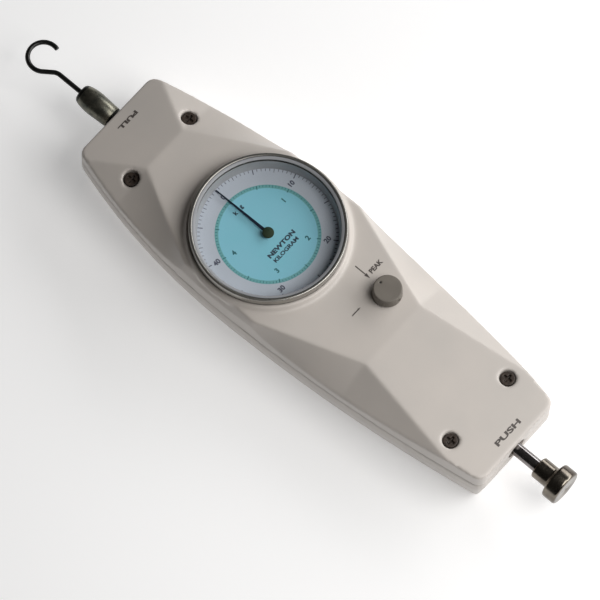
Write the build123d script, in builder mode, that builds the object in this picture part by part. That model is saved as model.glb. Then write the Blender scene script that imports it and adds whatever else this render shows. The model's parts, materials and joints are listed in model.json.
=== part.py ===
from build123d import *
from math import acos, atan2, cos, degrees, pi, radians, sin, sqrt, tan
import os

# Analog push-pull force gauge.
# Frame: +X runs along the measuring rod towards the push head, +Z points out of the dial.
# Origin: centre of the four mounting holes, on the flat back face. Millimetres.

os.makedirs("parts", exist_ok=True)

# ---------------------------------------------------------------- dial, driving sizes
dial_x = -27.0                    # dial centre
dial_radius = 32.5
skirt_wall = 1.1
side_margin = 3.5                 # from the bezel skirt to the widest point of the outline
bezel_skirt_radius = dial_radius + skirt_wall

# ---------------------------------------------------------------- case, driving sizes
case_length = 230.0
case_half_width = bezel_skirt_radius + side_margin
hook_end_half_width = 23.8
push_end_half_width = 24.2
outline_corner_radius = 4.5
parting_z = 20.0                  # the two shells meet here
wall = 2.5
roof = 3.0                        # thickness of the faceted roof, measured along Z
case_top_z = 34.5
lip_height = 1.2
lip_thickness = 1.1
lip_clearance = 0.1
rebate_overcut = 0.5

hook_end_x = -case_length / 2
push_end_x = case_length / 2

# Ridges of the faceted roof: place along X, half-width and height.
hook_end_ridge = (hook_end_x, hook_end_half_width + 4.0, case_top_z - 7.5)
hook_ridge = (dial_x - 59.5, 12.0, case_top_z - 1.0)
dial_ridge_hook_side = (dial_x - 18.0, case_half_width - 2.6, case_top_z)
dial_ridge_push_side = (dial_x + 22.0, case_half_width - 1.6, case_top_z)
knee_ridge = (dial_x + 71.0, 18.0, case_top_z)
push_end_ridge = (push_end_x, push_end_half_width + 5.4, case_top_z - 5.8)
flank_line_y = case_half_width + 2.9  # the flanks all run down to this line outside the case
flank_line_z = parting_z + 2.0
loft_overrun = 2.0

# Rear shell: a short upright band, then a taper down to the flat back.
rear_band = 6.0
rear_taper = 12.0                 # degrees
back_edge_radius = 2.0
floor_thickness = 2.5

# ---------------------------------------------------------------- rod, adapters, bushes
rod_radius = 3.0
rod_z = parting_z
rod_travel = 10.053               # one full turn of the pointer
running_gap = 0.05
fit_gap = 0.02
bush_radius = 5.0
bush_length = 12.0
bush_flange_radius = 6.6
bush_flange = 1.5
bush_recess = 0.4                 # the bushes end this far inside the end walls
saddle_half_width = 9.0
saddle_height = 8.0
saddle_bite = 1.0                 # the saddles run this far into the end walls
edge_break = 0.4                  # chamfer on turned edges

hook_barrel_gap = 0.4
hook_barrel_length = 17.6
hook_barrel_taper_share = 0.62    # the barrel widens over this much of its length, then rounds off
hook_barrel_radius = 5.5
hook_barrel_root_radius = 4.9
hook_barrel_nose_radius = 3.3
barrel_socket_depth = 9.0
hook_wire_radius = 1.1
hook_tip_radius = 0.5
hook_loop_radius = 7.0            # centre line
hook_loop_centre = (-158.4, 1.65)
hook_loop_start = -53.0           # degrees, where the shank runs into the loop
hook_loop_tip = 72.0
hook_bend_radius = 5.0
hook_wire_socket = 5.0

rod_reach = 12.1                  # bare rod between the case and the push head
neck_radius = 5.1
neck_length = 8.6
head_radius = 8.4
head_thickness = 6.9
head_chamfer = 0.9
head_socket_depth = 9.0

# ---------------------------------------------------------------- dial, bezel, pointer
dial_z = 32.5                     # printed face of the dial
dial_thickness = 0.8
dial_hole_radius = 1.6
dial_ledge = 0.6                  # the bezel steps in over the edge of the dial
bezel_top_z = 41.5
bezel_overhang = 0.9              # the rim stands out over the collar
bezel_rim_width = 1.6
bezel_rim_chamfer = 0.7
bezel_skirt_drop = 1.3            # below the printed face
collar_gap = 0.3
collar_width = 1.5
collar_height = 1.9               # above the top of the case
shoulder_gap = 0.5                # between the collar and the widened rim
cover_underside_z = 33.0          # round the dial opening
lens_thickness = 2.0
lens_seat_depth = 3.1
lens_ring_width = 1.4
snap_groove_depth = 0.45
snap_groove_z = 31.7
snap_ring_reach = 1.2             # beyond the skirt
snap_ring_thickness = 0.8
snap_pocket_gap = 0.4
snap_gap_angle = 16.0
seat_gap = 0.1

bezel_bore_radius = dial_radius - dial_ledge
bezel_radius = bezel_skirt_radius + bezel_overhang
bezel_skirt_bottom_z = dial_z - bezel_skirt_drop
lens_radius = bezel_radius - bezel_rim_width
lens_seat_z = bezel_top_z - lens_seat_depth
snap_groove_radius = bezel_skirt_radius - snap_groove_depth
snap_ring_radius = bezel_skirt_radius + snap_ring_reach
snap_pocket_radius = snap_ring_radius + snap_pocket_gap
collar_crest_radius = bezel_skirt_radius + collar_gap + collar_width
collar_foot_radius = case_half_width - seat_gap
collar_top_z = case_top_z + collar_height
shoulder_z = collar_top_z + shoulder_gap
pointer_z = 33.7
pointer_thickness = 0.4
hub_overhang = 0.4
pointer_length = 30.0
pointer_root_width = 1.5
pointer_tip_width = 0.5
hub_radius = 2.6
hub_height = 1.3
hub_side_height = 0.6
hub_roof = 0.6

# ---------------------------------------------------------------- gear train
rack_module = 0.5
rack_pinion_teeth = 16
wheel_module = 0.4
root_depth = 1.25                 # of a tooth, below the pitch line, in modules
wheel_teeth = 50
centre_pinion_teeth = 20
pressure_angle = 20.0
backlash = 0.06
tooth_flank_points = 3
rack_pitch_y = -5.5
rack_seat_y = -2.2
rack_height = 5.0
rack_screw_radius = 1.0
rack_screw_inset = 4.0
rack_screw_head_radius = 1.7
rack_screw_head = 0.8
rack_screw_seat_y = 1.6
rack_screw_bite = 2.2

rack_pinion_radius = rack_module * rack_pinion_teeth / 2
wheel_radius = wheel_module * wheel_teeth / 2
centre_pinion_radius = wheel_module * centre_pinion_teeth / 2
train_distance = wheel_radius + centre_pinion_radius
drive_y = rack_pitch_y - rack_pinion_radius
drive_x = dial_x - sqrt(train_distance**2 - drive_y**2)
train_angle = degrees(atan2(-drive_y, dial_x - drive_x))

plate_radius = 27.0
base_plate_z = 8.0
base_plate_thickness = 1.5
middle_plate_z = 24.2
middle_plate_thickness = 1.2
upper_plate_z = 29.6
upper_plate_thickness = 1.2
pillar_radius = 2.5
pillar_circle = 22.0
pillar_angles = (60.0, 150.0, 300.0)
pillar_spigot_radius = 1.5
upper_spigot_radius = 1.2
upper_spigot_depth = 3.0
post_circle = 23.5
post_radius = 3.5
post_angles = (0.0, 90.0, 180.0, 270.0)
small_screw_radius = 1.5
small_screw_head_radius = 2.7
small_screw_head = 1.6
small_screw_end_gap = 0.5
small_screw_length = 6.0
plate_screw_radius = 1.0
plate_screw_head_radius = 1.9
plate_screw_length = 3.6

arbor_radius = 1.5
pivot_radius = 1.0
pivot_gap = 0.04
centre_arbor_radius = 1.0
centre_pivot_radius = 0.8
wheel_z = 26.1
wheel_thickness = 1.0
wheel_rim = 1.6
wheel_hub_radius = 3.0
wheel_hub_top_z = 28.0
wheel_spokes = 4
wheel_spoke_width = 1.6
spoke_bite = 0.2                  # the spokes run this far into the rim
centre_pinion_z = 25.8
centre_pinion_height = 1.6
drum_radius = 6.0
drum_z = 27.8
drum_height = 1.4
end_shake = 0.3                   # free play between arbor shoulders and plates

# ---------------------------------------------------------------- load spring
spring_mean_radius = 5.4
spring_wire_radius = 0.75
spring_turns = 8
spring_start_x = 25.0
spring_length = 40.0
bracket_thickness = 3.0
bracket_corner_radius = 4.0
bracket_half_width = 11.0
bracket_top_z = 27.0
bracket_screw_y = 8.0
bracket_foot_length = 9.0
bracket_foot_thickness = 2.5
bracket_bore_gap = 0.5
spring_spigot_radius = 4.3
spring_spigot_length = 3.0
spring_collar_radius = 7.5
spring_collar_length = 6.0
collar_screw_radius = 1.5
collar_screw_sink = 0.5
bracket_screw_depth = 8.0
guide_pin_radius = 1.25
guide_pin_x = 16.0
guide_pin_length = 10.0
guide_pin_bite = 0.2
guide_block_top_z = 15.5
guide_slot_gap = 0.1
guide_block_half_width = 4.8
guide_block_margin = 2.5

# ---------------------------------------------------------------- peak knob and brake
knob_x = 30.0
knob_y = 12.6
knob_radius = 6.7
knob_top_radius = 6.4
knob_top_z = 41.2
knob_bottom_z = 35.6
knob_dot_depth = 0.3
knob_edge_radius = 0.6
knob_bore_depth = 4.2
knob_bore_gap = 0.2
knob_shaft_radius = 2.5
knob_dot_radius = 0.7
knob_dot_offset = 4.2
knob_bush_radius = 4.5
knob_bush_flange_radius = 6.0
knob_bush_flange = 0.9
knob_bush_bottom_z = 30.2
knob_screw_radius = 1.0
knob_screw_sink = 0.8
knob_screw_angle = 60.0
cam_radius = 3.4
cam_offset = 0.8
cam_offset_angle = 135.0
cam_z = 27.6
cam_height = 2.0
lever_x = -9.0
lever_y = 9.0
lever_z = 28.0
lever_thickness = 1.2
lever_boss_radius = 3.2
lever_arm_width = 3.0
lever_tuck = 0.6                  # the arms leave the boss this far inside its edge
lever_cam_flat = 3.0              # half the length of the edge that the cam meets
lever_cam_gap = 0.2
lever_stud_radius = 1.4
pad_gap = 0.15
pad_width = 4.0
pad_depth = 2.0

# ---------------------------------------------------------------- case screws, mounting
hook_screw_x = -89.0
push_screw_x = 93.0
case_screw_y = 18.9
case_screw_head_radius = 3.2
case_screw_head_height = 2.2
case_screw_radius = 2.0
case_screw_thread_radius = 1.65
case_screw_end_z = 6.0
hook_screw_seat_z = 27.2
push_screw_seat_z = 27.7
screw_recess_radius = 3.7
screw_boss_radius = 5.0
screw_hole_gap = 0.15
cross_slot_width = 1.1
cross_slot_length = 4.2
cross_slot_depth = 1.2
mount_spacing_x = 80.0
mount_spacing_y = 25.0
mount_hole_radius = 1.65
mount_hole_depth = 6.0
mount_boss_radius = 4.0
mount_boss_top_z = 7.6

along_rod = Plane(origin=(0, 0, rod_z), x_dir=(1, 0, 0), z_dir=(0, -1, 0))  # local y is +Z
dial_centre = (dial_x, 0)
drive_centre = (drive_x, drive_y)
knob_centre = (knob_x, knob_y)
case_screw_places = [
    (hook_screw_x, case_screw_y, hook_screw_seat_z),
    (hook_screw_x, -case_screw_y, hook_screw_seat_z),
    (push_screw_x, case_screw_y, push_screw_seat_z),
    (push_screw_x, -case_screw_y, push_screw_seat_z),
]


# ---------------------------------------------------------------- shared profiles
def case_outline(inset, z):
    """Outline of the case seen along Z, moved inwards by inset, at height z."""
    with BuildSketch(Plane.XY.offset(z)) as outline:
        with BuildLine():
            hook_side = TangentArc(
                (dial_x, case_half_width), (hook_end_x, hook_end_half_width), tangent=(-1, 0)
            )
            push_side = TangentArc(
                (dial_x, case_half_width), (push_end_x, push_end_half_width), tangent=(1, 0)
            )
            Line((hook_end_x, hook_end_half_width), (hook_end_x, 0))
            Line((push_end_x, push_end_half_width), (push_end_x, 0))
            Line((hook_end_x, 0), (push_end_x, 0))
        make_face()
        mirror(about=Plane.XZ)
        corners = outline.vertices().filter_by(lambda v: abs(v.X) > case_length / 2 - 1)
        fillet(corners.filter_by(lambda v: abs(v.Y) > 1), outline_corner_radius)
        if inset > 0:
            offset(amount=-inset)
    return outline.sketch


def roof_section(ridge, drop, narrowing):
    """Cross-section of the faceted roof at one station, lowered by drop."""
    x, half_width, z = ridge
    with BuildSketch(Plane.YZ.offset(x)) as section:
        Polygon(
            (half_width - narrowing, z - drop),
            (flank_line_y, flank_line_z - drop),
            (flank_line_y, 0),
            (-flank_line_y, 0),
            (-flank_line_y, flank_line_z - drop),
            (narrowing - half_width, z - drop),
            align=None,
        )
    return section.sketch


def beyond(ridge, neighbour, overrun):
    """The ridge carried on past its end by overrun, on the line from its neighbour."""
    step = overrun / abs(ridge[0] - neighbour[0])
    return tuple(a + (a - b) * step for a, b in zip(ridge, neighbour))


roof_stations = [
    beyond(hook_end_ridge, hook_ridge, loft_overrun),
    hook_ridge,
    dial_ridge_hook_side,
    dial_ridge_push_side,
    knee_ridge,
    beyond(push_end_ridge, knee_ridge, loft_overrun),
]


def gear_points(module, teeth, first_tooth, centre):
    """Corner points of an involute spur gear, starting with a tooth at first_tooth degrees."""
    pitch_radius = module * teeth / 2
    base_radius = pitch_radius * cos(radians(pressure_angle))
    root_radius = pitch_radius - root_depth * module
    tip_radius = pitch_radius + module
    involute_at_pitch = tan(radians(pressure_angle)) - radians(pressure_angle)
    half_tooth = pi / (2 * teeth) - backlash / (2 * pitch_radius) + involute_at_pitch
    start_radius = max(base_radius, root_radius)
    flank = []
    for i in range(tooth_flank_points):
        radius = start_radius + (tip_radius - start_radius) * i / (tooth_flank_points - 1)
        roll = acos(min(1.0, base_radius / radius))
        flank.append((radius, half_tooth - (tan(roll) - roll)))
    if root_radius < start_radius:
        flank.insert(0, (root_radius, flank[0][1]))
    points = []
    for i in range(teeth):
        middle = radians(first_tooth) + 2 * pi * i / teeth
        for radius, half in flank:
            points.append((radius, middle - half))
        for radius, half in reversed(flank):
            points.append((radius, middle + half))
    return [(centre[0] + r * cos(a), centre[1] + r * sin(a)) for r, a in points]


def ring_of(circle, angles, centre):
    """Places on a circle round a centre."""
    return [(centre[0] + circle * cos(radians(a)), centre[1] + circle * sin(radians(a))) for a in angles]


bracket_screw_places = [
    (spring_start_x - bracket_thickness - bracket_foot_length / 2, sy * bracket_screw_y) for sy in (-1, 1)
]
pillar_places = ring_of(pillar_circle, pillar_angles, dial_centre)
post_places = ring_of(post_circle, post_angles, dial_centre)
mount_places = [
    (sx * mount_spacing_x / 2, sy * mount_spacing_y / 2) for sx in (-1, 1) for sy in (-1, 1)
]

# ================================================================ case shells
# Solid form of the front shell: faceted roof trimmed by the outline of the case.
with BuildPart() as front_form:
    for station in roof_stations:
        add(roof_section(station, 0, 0))
    loft(ruled=True)
    with BuildSketch(Plane.XY.offset(parting_z)):
        add(case_outline(0, parting_z))
    extrude(amount=bezel_top_z, mode=Mode.INTERSECT)

# Space inside the front shell.
with BuildPart() as front_core:
    for station in roof_stations:
        add(roof_section(station, roof, roof / 2))
    loft(ruled=True)
    with BuildSketch(Plane.XY.offset(parting_z)):
        add(case_outline(wall, parting_z))
    extrude(amount=bezel_top_z, mode=Mode.INTERSECT)

# Screw bosses, trimmed to the form of the front shell.
with BuildPart() as front_bosses:
    with BuildSketch(Plane.XY.offset(parting_z)):
        for x, y, seat in case_screw_places:
            with Locations((x, y)):
                Circle(screw_boss_radius)
    extrude(amount=case_top_z - parting_z)
    add(front_form.part, mode=Mode.INTERSECT)

with BuildPart() as front_cover:
    add(front_form.part)
    add(front_core.part, mode=Mode.SUBTRACT)
    # collar that stands up round the dial
    with BuildSketch(Plane.XZ):
        with Locations((dial_x, 0)):
            Polygon(
                (bezel_bore_radius, cover_underside_z),
                (collar_foot_radius, cover_underside_z),
                (collar_foot_radius, case_top_z),
                (collar_crest_radius, collar_top_z),
                (bezel_bore_radius, collar_top_z),
                align=None,
            )
    revolve(axis=Axis((dial_x, 0, 0), (0, 0, 1)))
    # dial opening, and the pocket under it for the snap ring
    with BuildSketch(Plane.XY.offset(parting_z)):
        with Locations(dial_centre):
            Circle(bezel_skirt_radius + collar_gap)
    extrude(amount=bezel_top_z - parting_z, mode=Mode.SUBTRACT)
    with BuildSketch(Plane.XY.offset(parting_z)):
        with Locations(dial_centre):
            Circle(snap_pocket_radius)
    extrude(amount=cover_underside_z - parting_z, mode=Mode.SUBTRACT)
    add(front_bosses.part)
    for x, y, seat in case_screw_places:
        with Locations((x, y, seat)):
            Cylinder(screw_recess_radius, bezel_top_z, align=(Align.CENTER, Align.CENTER, Align.MIN),
                     mode=Mode.SUBTRACT)
            Cylinder(case_screw_radius + screw_hole_gap, 2 * bezel_top_z, mode=Mode.SUBTRACT)
    # saddles that hold the rod bushes
    for end_x, side in ((hook_end_x, 1), (push_end_x, -1)):
        saddle_start = wall - saddle_bite
        saddle_length = bush_length + bush_recess - saddle_start
        with Locations((end_x + side * (saddle_start + saddle_length / 2), 0, parting_z)):
            Box(saddle_length, 2 * saddle_half_width, saddle_height,
                align=(Align.CENTER, Align.CENTER, Align.MIN))
    with Locations((0, 0, rod_z)):
        Cylinder(bush_radius, case_length + 2, rotation=(0, 90, 0), mode=Mode.SUBTRACT)
    # hole for the knob bush
    with Locations((knob_x, knob_y, dial_z)):
        Cylinder(knob_bush_radius, 2 * parting_z, mode=Mode.SUBTRACT)
    # rebate for the lip of the rear shell
    with BuildSketch(Plane.XY.offset(parting_z)):
        add(case_outline(wall - lip_thickness - lip_clearance, parting_z))
        add(case_outline(wall + rebate_overcut, parting_z), mode=Mode.SUBTRACT)
    extrude(amount=lip_height + lip_clearance, mode=Mode.SUBTRACT)
front_cover.part.label = "front_cover"
export_step(front_cover.part, "parts/front_cover.step")


# ---------------------------------------------------------------- rear shell form
def rear_form_part(inset, bottom):
    """Rear shell form moved inwards by inset, ending at height bottom."""
    with BuildPart() as form:
        with BuildSketch(Plane.XY.offset(parting_z)):
            add(case_outline(inset, parting_z))
        extrude(amount=-rear_band)
        with BuildSketch(Plane.XY.offset(parting_z - rear_band)):
            add(case_outline(inset, parting_z - rear_band))
        extrude(amount=-(parting_z - rear_band - bottom), taper=rear_taper)
    return form.part


with BuildPart() as rear_cover:
    add(rear_form_part(0, 0))
    fillet(rear_cover.faces().sort_by(Axis.Z)[0].edges(), back_edge_radius)
    add(rear_form_part(wall, floor_thickness), mode=Mode.SUBTRACT)
    # lip that registers in the front shell
    with BuildSketch(Plane.XY.offset(parting_z)):
        add(case_outline(wall - lip_thickness, parting_z))
        add(case_outline(wall, parting_z), mode=Mode.SUBTRACT)
    extrude(amount=lip_height)
    # columns that the case screws run into
    with BuildSketch(Plane.XY):
        for x, y, seat in case_screw_places:
            with Locations((x, y)):
                Circle(screw_boss_radius)
    extrude(amount=parting_z)
    # posts under the movement and bosses round the mounting holes
    with BuildSketch(Plane.XY.offset(floor_thickness)):
        with Locations(*post_places):
            Circle(post_radius)
    extrude(amount=base_plate_z - floor_thickness)
    with BuildSketch(Plane.XY.offset(floor_thickness)):
        with Locations(*mount_places):
            Circle(mount_boss_radius)
    extrude(amount=mount_boss_top_z - floor_thickness)
    # guide block for the pin under the rod
    slot_start = guide_pin_x - rod_travel - guide_pin_radius - guide_slot_gap
    slot_end = guide_pin_x + guide_pin_radius + guide_slot_gap
    block_length = slot_end - slot_start + 2 * guide_block_margin
    with Locations(((slot_start + slot_end) / 2, 0, floor_thickness)):
        Box(block_length, 2 * guide_block_half_width, guide_block_top_z - floor_thickness,
            align=(Align.CENTER, Align.CENTER, Align.MIN))
    with Locations(((slot_start + slot_end) / 2, 0, floor_thickness)):
        Box(slot_end - slot_start, 2 * (guide_pin_radius + guide_slot_gap), parting_z,
            align=(Align.CENTER, Align.CENTER, Align.MIN), mode=Mode.SUBTRACT)
    # saddles that hold the rod bushes
    for end_x, side in ((hook_end_x, 1), (push_end_x, -1)):
        saddle_x = end_x + side * (wall + (bush_length + bush_recess - wall) / 2)
        with Locations((saddle_x, 0, parting_z)):
            Box(bush_length + bush_recess - wall, 2 * saddle_half_width, parting_z - floor_thickness,
                align=(Align.CENTER, Align.CENTER, Align.MAX))
    with Locations((0, 0, rod_z)):
        Cylinder(bush_radius, case_length + 2, rotation=(0, 90, 0), mode=Mode.SUBTRACT)
    # screw holes
    for x, y, seat in case_screw_places:
        with Locations((x, y, parting_z)):
            Cylinder(case_screw_thread_radius + fit_gap, parting_z - case_screw_end_z + 1,
                     align=(Align.CENTER, Align.CENTER, Align.MAX), mode=Mode.SUBTRACT)
    with Locations(*[(x, y, base_plate_z) for x, y in post_places]):
        Cylinder(small_screw_radius + fit_gap, small_screw_length,
                 align=(Align.CENTER, Align.CENTER, Align.MAX), mode=Mode.SUBTRACT)
    with Locations(*[(x, y, 0) for x, y in mount_places]):
        Cylinder(mount_hole_radius, mount_hole_depth,
                 align=(Align.CENTER, Align.CENTER, Align.MIN), mode=Mode.SUBTRACT)
    with Locations(*[(x, y, floor_thickness) for x, y in bracket_screw_places]):
        Cylinder(small_screw_radius + fit_gap, bracket_screw_depth, mode=Mode.SUBTRACT)
rear_cover.part.label = "rear_cover"
export_step(rear_cover.part, "parts/rear_cover.step")

with BuildPart() as case_screws:
    for x, y, seat in case_screw_places:
        with Locations((x, y, seat)):
            Cylinder(case_screw_head_radius, case_screw_head_height,
                     align=(Align.CENTER, Align.CENTER, Align.MIN))
            Cylinder(case_screw_radius, seat - parting_z,
                     align=(Align.CENTER, Align.CENTER, Align.MAX))
        with Locations((x, y, parting_z)):
            Cylinder(case_screw_thread_radius, parting_z - case_screw_end_z,
                     align=(Align.CENTER, Align.CENTER, Align.MAX))
        with Locations((x, y, seat + case_screw_head_height)):
            Box(cross_slot_length, cross_slot_width, 2 * cross_slot_depth, mode=Mode.SUBTRACT)
            Box(cross_slot_width, cross_slot_length, 2 * cross_slot_depth, mode=Mode.SUBTRACT)
case_screws.part.label = "case_screws"
export_step(case_screws.part, "parts/case_screws.step")


def rod_bush(end_x, side):
    """Flanged bush in an end wall, with its flange inside the case."""
    start = end_x + side * bush_recess
    end = start + side * bush_length
    with BuildPart() as bush:
        with BuildSketch(Plane.XZ):
            with BuildLine():
                Polyline(
                    (start, rod_z + rod_radius + running_gap),
                    (start, rod_z + bush_radius - fit_gap),
                    (end, rod_z + bush_radius - fit_gap),
                    (end, rod_z + bush_flange_radius),
                    (end + side * bush_flange, rod_z + bush_flange_radius),
                    (end + side * bush_flange, rod_z + rod_radius + running_gap),
                    close=True,
                )
            make_face()
        revolve(axis=Axis((0, 0, rod_z), (1, 0, 0)))
    return bush.part


with BuildPart() as hook_end_bush:
    add(rod_bush(hook_end_x, 1))
hook_end_bush.part.label = "hook_end_bush"
export_step(hook_end_bush.part, "parts/hook_end_bush.step")

with BuildPart() as push_end_bush:
    add(rod_bush(push_end_x, -1))
push_end_bush.part.label = "push_end_bush"
export_step(push_end_bush.part, "parts/push_end_bush.step")

# ================================================================ measuring rod
rod_start_x = hook_end_x - hook_barrel_gap - barrel_socket_depth
neck_start_x = push_end_x + rod_reach
rod_end_x = neck_start_x + head_socket_depth
rack_travel_margin = rack_pinion_radius
rack_start_x = drive_x - rack_travel_margin - rack_module
rack_end_x = drive_x + rod_travel + rack_travel_margin + rack_module
spring_end_x = spring_start_x + spring_length

with BuildPart() as measuring_rod:
    with Locations((rod_start_x, 0, rod_z)):
        Cylinder(rod_radius, rod_end_x - rod_start_x, rotation=(0, 90, 0),
                 align=(Align.CENTER, Align.CENTER, Align.MIN))
    chamfer(measuring_rod.edges().filter_by(GeomType.CIRCLE), edge_break)
    # flat for the rack, its screw holes, and the cross hole for the guide pin
    with Locations(((rack_start_x + rack_end_x) / 2, rack_seat_y, rod_z)):
        Box(rack_end_x - rack_start_x + 2 * fit_gap, rod_radius, 2 * rod_radius + 1,
            align=(Align.CENTER, Align.MAX, Align.CENTER), mode=Mode.SUBTRACT)
    for x in (rack_start_x + rack_screw_inset, rack_end_x - rack_screw_inset):
        with Locations((x, 0, rod_z)):
            Cylinder(rack_screw_radius + fit_gap, 3 * rod_radius, rotation=(90, 0, 0), mode=Mode.SUBTRACT)
        with Locations((x, rack_screw_seat_y, rod_z)):
            Cylinder(rack_screw_head_radius + fit_gap, rod_radius, rotation=(-90, 0, 0),
                     align=(Align.CENTER, Align.CENTER, Align.MIN), mode=Mode.SUBTRACT)
    with Locations((guide_pin_x, 0, rod_z)):
        Cylinder(guide_pin_radius, 3 * rod_radius, mode=Mode.SUBTRACT)
measuring_rod.part.label = "measuring_rod"
export_step(measuring_rod.part, "parts/measuring_rod.step")

with BuildPart() as rack:
    rack_root_y = rack_pitch_y + root_depth * rack_module
    rack_tip_y = rack_pitch_y - rack_module
    tooth_pitch = pi * rack_module
    teeth_each_way = int((rack_end_x - drive_x) / tooth_pitch)
    lean = tan(radians(pressure_angle))
    half_at_pitch = tooth_pitch / 4 - backlash / 2
    half_at_root = half_at_pitch + root_depth * rack_module * lean
    half_at_tip = half_at_pitch - rack_module * lean
    with BuildSketch(Plane.XY.offset(rod_z - rack_height / 2)):
        with BuildLine():
            outline_points = [(rack_start_x, rack_seat_y), (rack_start_x, rack_root_y)]
            for i in range(-teeth_each_way, teeth_each_way + 1):
                tooth_x = drive_x + i * tooth_pitch
                if rack_start_x + half_at_root < tooth_x < rack_end_x - half_at_root:
                    outline_points += [
                        (tooth_x - half_at_root, rack_root_y),
                        (tooth_x - half_at_tip, rack_tip_y),
                        (tooth_x + half_at_tip, rack_tip_y),
                        (tooth_x + half_at_root, rack_root_y),
                    ]
            outline_points += [(rack_end_x, rack_root_y), (rack_end_x, rack_seat_y)]
            Polyline(*outline_points, close=True)
        make_face()
    extrude(amount=rack_height)
    for x in (rack_start_x + rack_screw_inset, rack_end_x - rack_screw_inset):
        with Locations((x, rack_seat_y, rod_z)):
            Cylinder(rack_screw_radius + fit_gap, rack_screw_bite, rotation=(90, 0, 0),
                     align=(Align.CENTER, Align.CENTER, Align.MIN), mode=Mode.SUBTRACT)
rack.part.label = "rack"
export_step(rack.part, "parts/rack.step")

with BuildPart() as rack_screws:
    for x in (rack_start_x + rack_screw_inset, rack_end_x - rack_screw_inset):
        with Locations((x, rack_screw_seat_y, rod_z)):
            Cylinder(rack_screw_head_radius, rack_screw_head, rotation=(-90, 0, 0),
                     align=(Align.CENTER, Align.CENTER, Align.MIN))
            Cylinder(rack_screw_radius, rack_screw_seat_y - rack_seat_y + rack_screw_bite, rotation=(90, 0, 0),
                     align=(Align.CENTER, Align.CENTER, Align.MIN))
rack_screws.part.label = "rack_screws"
export_step(rack_screws.part, "parts/rack_screws.step")

with BuildPart() as guide_pin:
    with Locations((guide_pin_x, 0, rod_z + rod_radius - guide_pin_bite)):
        Cylinder(guide_pin_radius - fit_gap, guide_pin_length + 2 * rod_radius,
                 align=(Align.CENTER, Align.CENTER, Align.MAX))
guide_pin.part.label = "guide_pin"
export_step(guide_pin.part, "parts/guide_pin.step")

with BuildPart() as spring_collar:
    with Locations((spring_end_x, 0, rod_z)):
        Cylinder(spring_collar_radius, spring_collar_length, rotation=(0, 90, 0),
                 align=(Align.CENTER, Align.CENTER, Align.MIN))
    chamfer(spring_collar.edges().filter_by(GeomType.CIRCLE), edge_break)
    with Locations((spring_end_x, 0, rod_z)):
        Cylinder(rod_radius + fit_gap, spring_collar_length, rotation=(0, 90, 0),
                 align=(Align.CENTER, Align.CENTER, Align.MIN), mode=Mode.SUBTRACT)
    with Locations((spring_end_x + spring_collar_length / 2, 0, rod_z + rod_radius)):
        Cylinder(collar_screw_radius + fit_gap, spring_collar_radius,
                 align=(Align.CENTER, Align.CENTER, Align.MIN), mode=Mode.SUBTRACT)
spring_collar.part.label = "spring_collar"
export_step(spring_collar.part, "parts/spring_collar.step")

with BuildPart() as collar_screw:
    with Locations((spring_end_x + spring_collar_length / 2, 0, rod_z + rod_radius + running_gap)):
        Cylinder(collar_screw_radius, spring_collar_radius - rod_radius - collar_screw_sink,
                 align=(Align.CENTER, Align.CENTER, Align.MIN))
collar_screw.part.label = "collar_screw"
export_step(collar_screw.part, "parts/collar_screw.step")

with BuildPart() as load_spring:
    coil_length = spring_length - 2 * (spring_wire_radius + fit_gap)
    with BuildLine() as coil:
        Helix(
            pitch=coil_length / spring_turns,
            height=coil_length,
            radius=spring_mean_radius,
            center=(spring_start_x + spring_wire_radius + fit_gap, 0, rod_z),
            direction=(1, 0, 0),
        )
    with BuildSketch(Plane(coil.line @ 0, z_dir=coil.line % 0)):
        RegularPolygon(spring_wire_radius, 8)
    sweep(path=coil.line, is_frenet=True)
load_spring.part.label = "load_spring"
export_step(load_spring.part, "parts/load_spring.step")

barrel_start_x = hook_end_x - hook_barrel_gap
barrel_end_x = barrel_start_x - hook_barrel_length
with BuildPart() as hook_adapter:
    belly_x = barrel_start_x - hook_barrel_length * hook_barrel_taper_share
    with BuildSketch(along_rod):
        with BuildLine():
            Polyline((barrel_end_x, 0), (barrel_start_x, 0), (barrel_start_x, hook_barrel_root_radius))
            Line((barrel_start_x, hook_barrel_root_radius), (belly_x, hook_barrel_radius))
            Spline(
                (belly_x, hook_barrel_radius), (barrel_end_x, hook_barrel_nose_radius),
                tangents=((-1, 0.05), (-0.7, -1)),
            )
            Line((barrel_end_x, hook_barrel_nose_radius), (barrel_end_x, 0))
        make_face()
    revolve(axis=Axis((0, 0, rod_z), (1, 0, 0)))
    chamfer(hook_adapter.faces().sort_by(Axis.X)[-1].edges(), edge_break)
    with Locations((barrel_start_x, 0, rod_z)):
        Cylinder(rod_radius + fit_gap, barrel_socket_depth + fit_gap, rotation=(0, 90, 0),
                 align=(Align.CENTER, Align.CENTER, Align.MAX), mode=Mode.SUBTRACT)
    with Locations((barrel_end_x, 0, rod_z)):
        Cylinder(hook_wire_radius + fit_gap, hook_wire_socket + fit_gap, rotation=(0, 90, 0),
                 align=(Align.CENTER, Align.CENTER, Align.MIN), mode=Mode.SUBTRACT)
hook_adapter.part.label = "hook_adapter"
export_step(hook_adapter.part, "parts/hook_adapter.step")

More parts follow.
